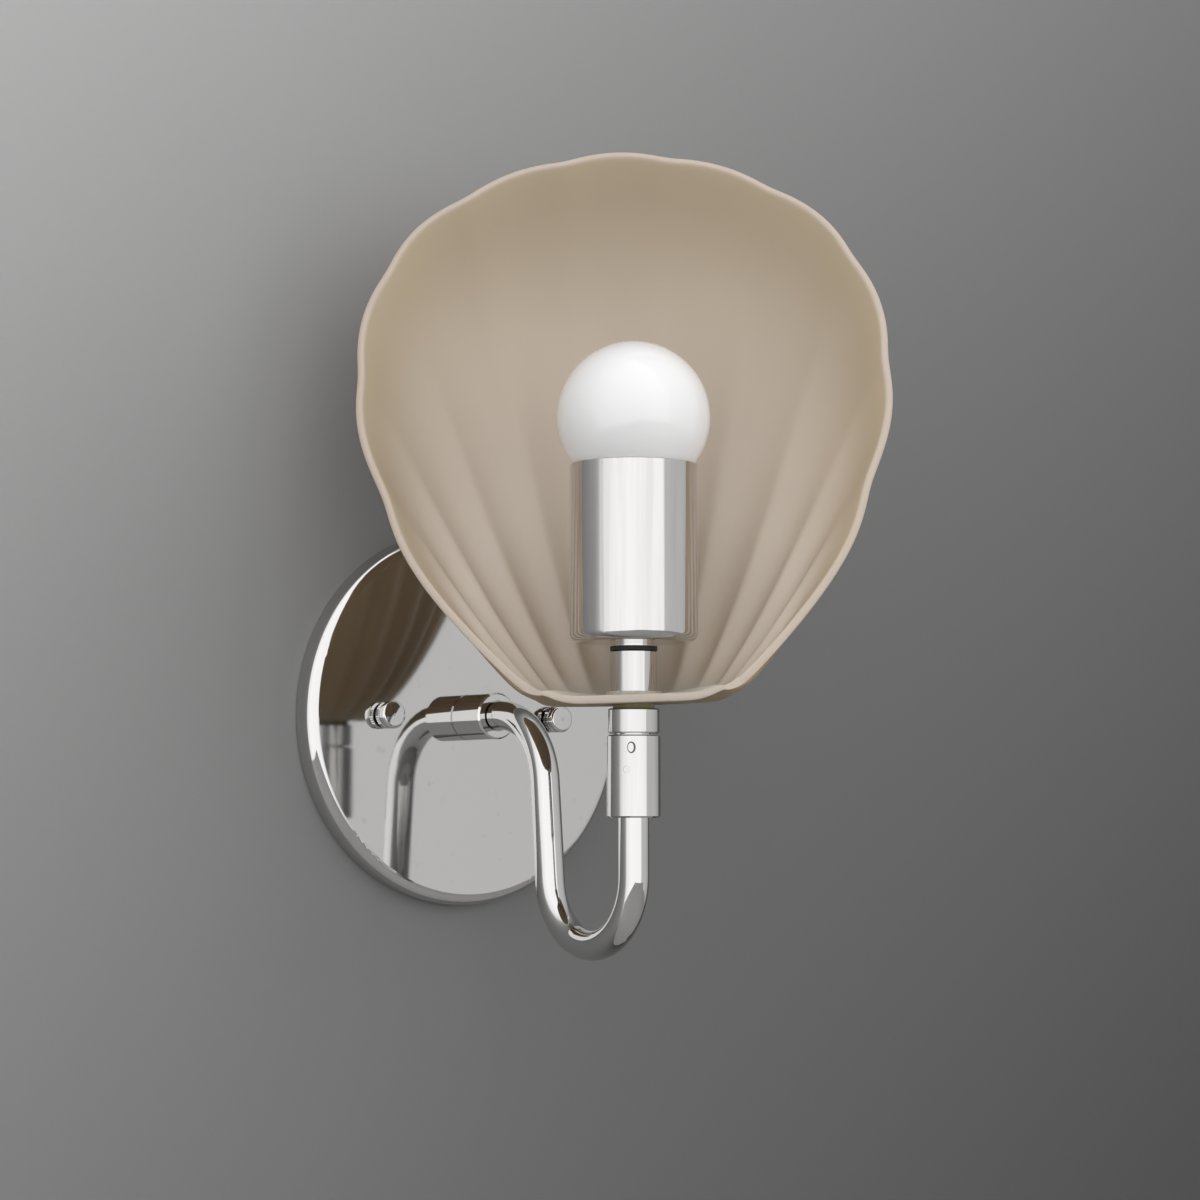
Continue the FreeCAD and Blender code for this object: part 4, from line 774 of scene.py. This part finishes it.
BEND_RAISE = 0.0037
LEGS_TOP = -0.038
LEGS_FOOT = -0.056


def make_arm(material):
    """Copies the arm's skin and shortens its straight legs, so that the bend keeps its round section."""
    mesh = frame["nodes"]["arm_tube"].data.copy()
    mesh.name = "arm_bent"
    for corner in mesh.vertices:
        share = min(1.0, max(0.0, (LEGS_TOP - corner.co.z) / (LEGS_TOP - LEGS_FOOT)))
        corner.co.z += BEND_RAISE * share
    mesh.materials.clear()
    mesh.materials.append(material)
    arm = bpy.data.objects.new("arm_bent", mesh)
    scene.collection.objects.link(arm)
    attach(arm, "wall_arm")
    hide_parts("arm_tube")


# ---------------------------------------------------------------------------------------------------
# Punched mark on the swivel: the burr that a punch leaves, at the photograph's height, coloured dark as
# painted shade of the dent
# ---------------------------------------------------------------------------------------------------

MARK_AZIMUTH = math.radians(-43.0)
MARK_DEPTH_BELOW_TOP = 0.0042
MARK_HALF_WIDTH = 0.00115
MARK_HALF_HEIGHT = 0.00165
MARK_WIRE = 0.00030
MARK_UNEVEN = 0.6
MARK_STEPS = 36
MARK_SECTION = 8


def make_punch_mark(material):
    """An upright oval burr that lies on the swivel body's round side."""
    low, high = (Vector(corner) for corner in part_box("swivel_body"))
    axis = Vector(((low.x + high.x) / 2, (low.y + high.y) / 2, high.z - MARK_DEPTH_BELOW_TOP))
    radius = (high.x - low.x) / 2
    corners, faces = [], []
    for k in range(MARK_STEPS):
        turn = 2 * math.pi * k / MARK_STEPS
        wire = MARK_WIRE * (1 - MARK_UNEVEN * math.sin(turn / 2) ** 2)
        for n in range(MARK_SECTION):
            tilt = 2 * math.pi * n / MARK_SECTION
            wide = MARK_HALF_WIDTH + wire * math.cos(tilt)
            tall = MARK_HALF_HEIGHT + wire * math.cos(tilt)
            round_by = MARK_AZIMUTH + wide * math.cos(turn) / radius
            reach = radius + wire * math.sin(tilt) / 2
            corners.append(axis + Vector((reach * math.sin(round_by), -reach * math.cos(round_by),
                                          tall * math.sin(turn))))
            after, beside = (k + 1) % MARK_STEPS, (n + 1) % MARK_SECTION
            faces.append((k * MARK_SECTION + n, after * MARK_SECTION + n,
                          after * MARK_SECTION + beside, k * MARK_SECTION + beside))
    mark = mesh_object("punch_mark", corners, faces, material)
    mark.data.shade_smooth()
    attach(mark, "wall_arm")


# ---------------------------------------------------------------------------------------------------
# Put together
# ---------------------------------------------------------------------------------------------------

scene.view_settings.view_transform = "Standard"
materials = dress_nodes()
make_shell(materials["frosted_taupe_glass"])
make_arm(materials["polished_nickel"])
# painted shade: the burr is coloured dark for the shade in the dent
make_punch_mark(metal("punch_mark_painted_shade", PUNCH_MARK_PAINTED_SHADE, 0.35))
make_nut("thumb_nut_left", "nut_left", materials["polished_nickel"])
make_nut("thumb_nut_right", "nut_right", materials["polished_nickel"])
make_world()
make_stage()
make_camera()
make_fill()
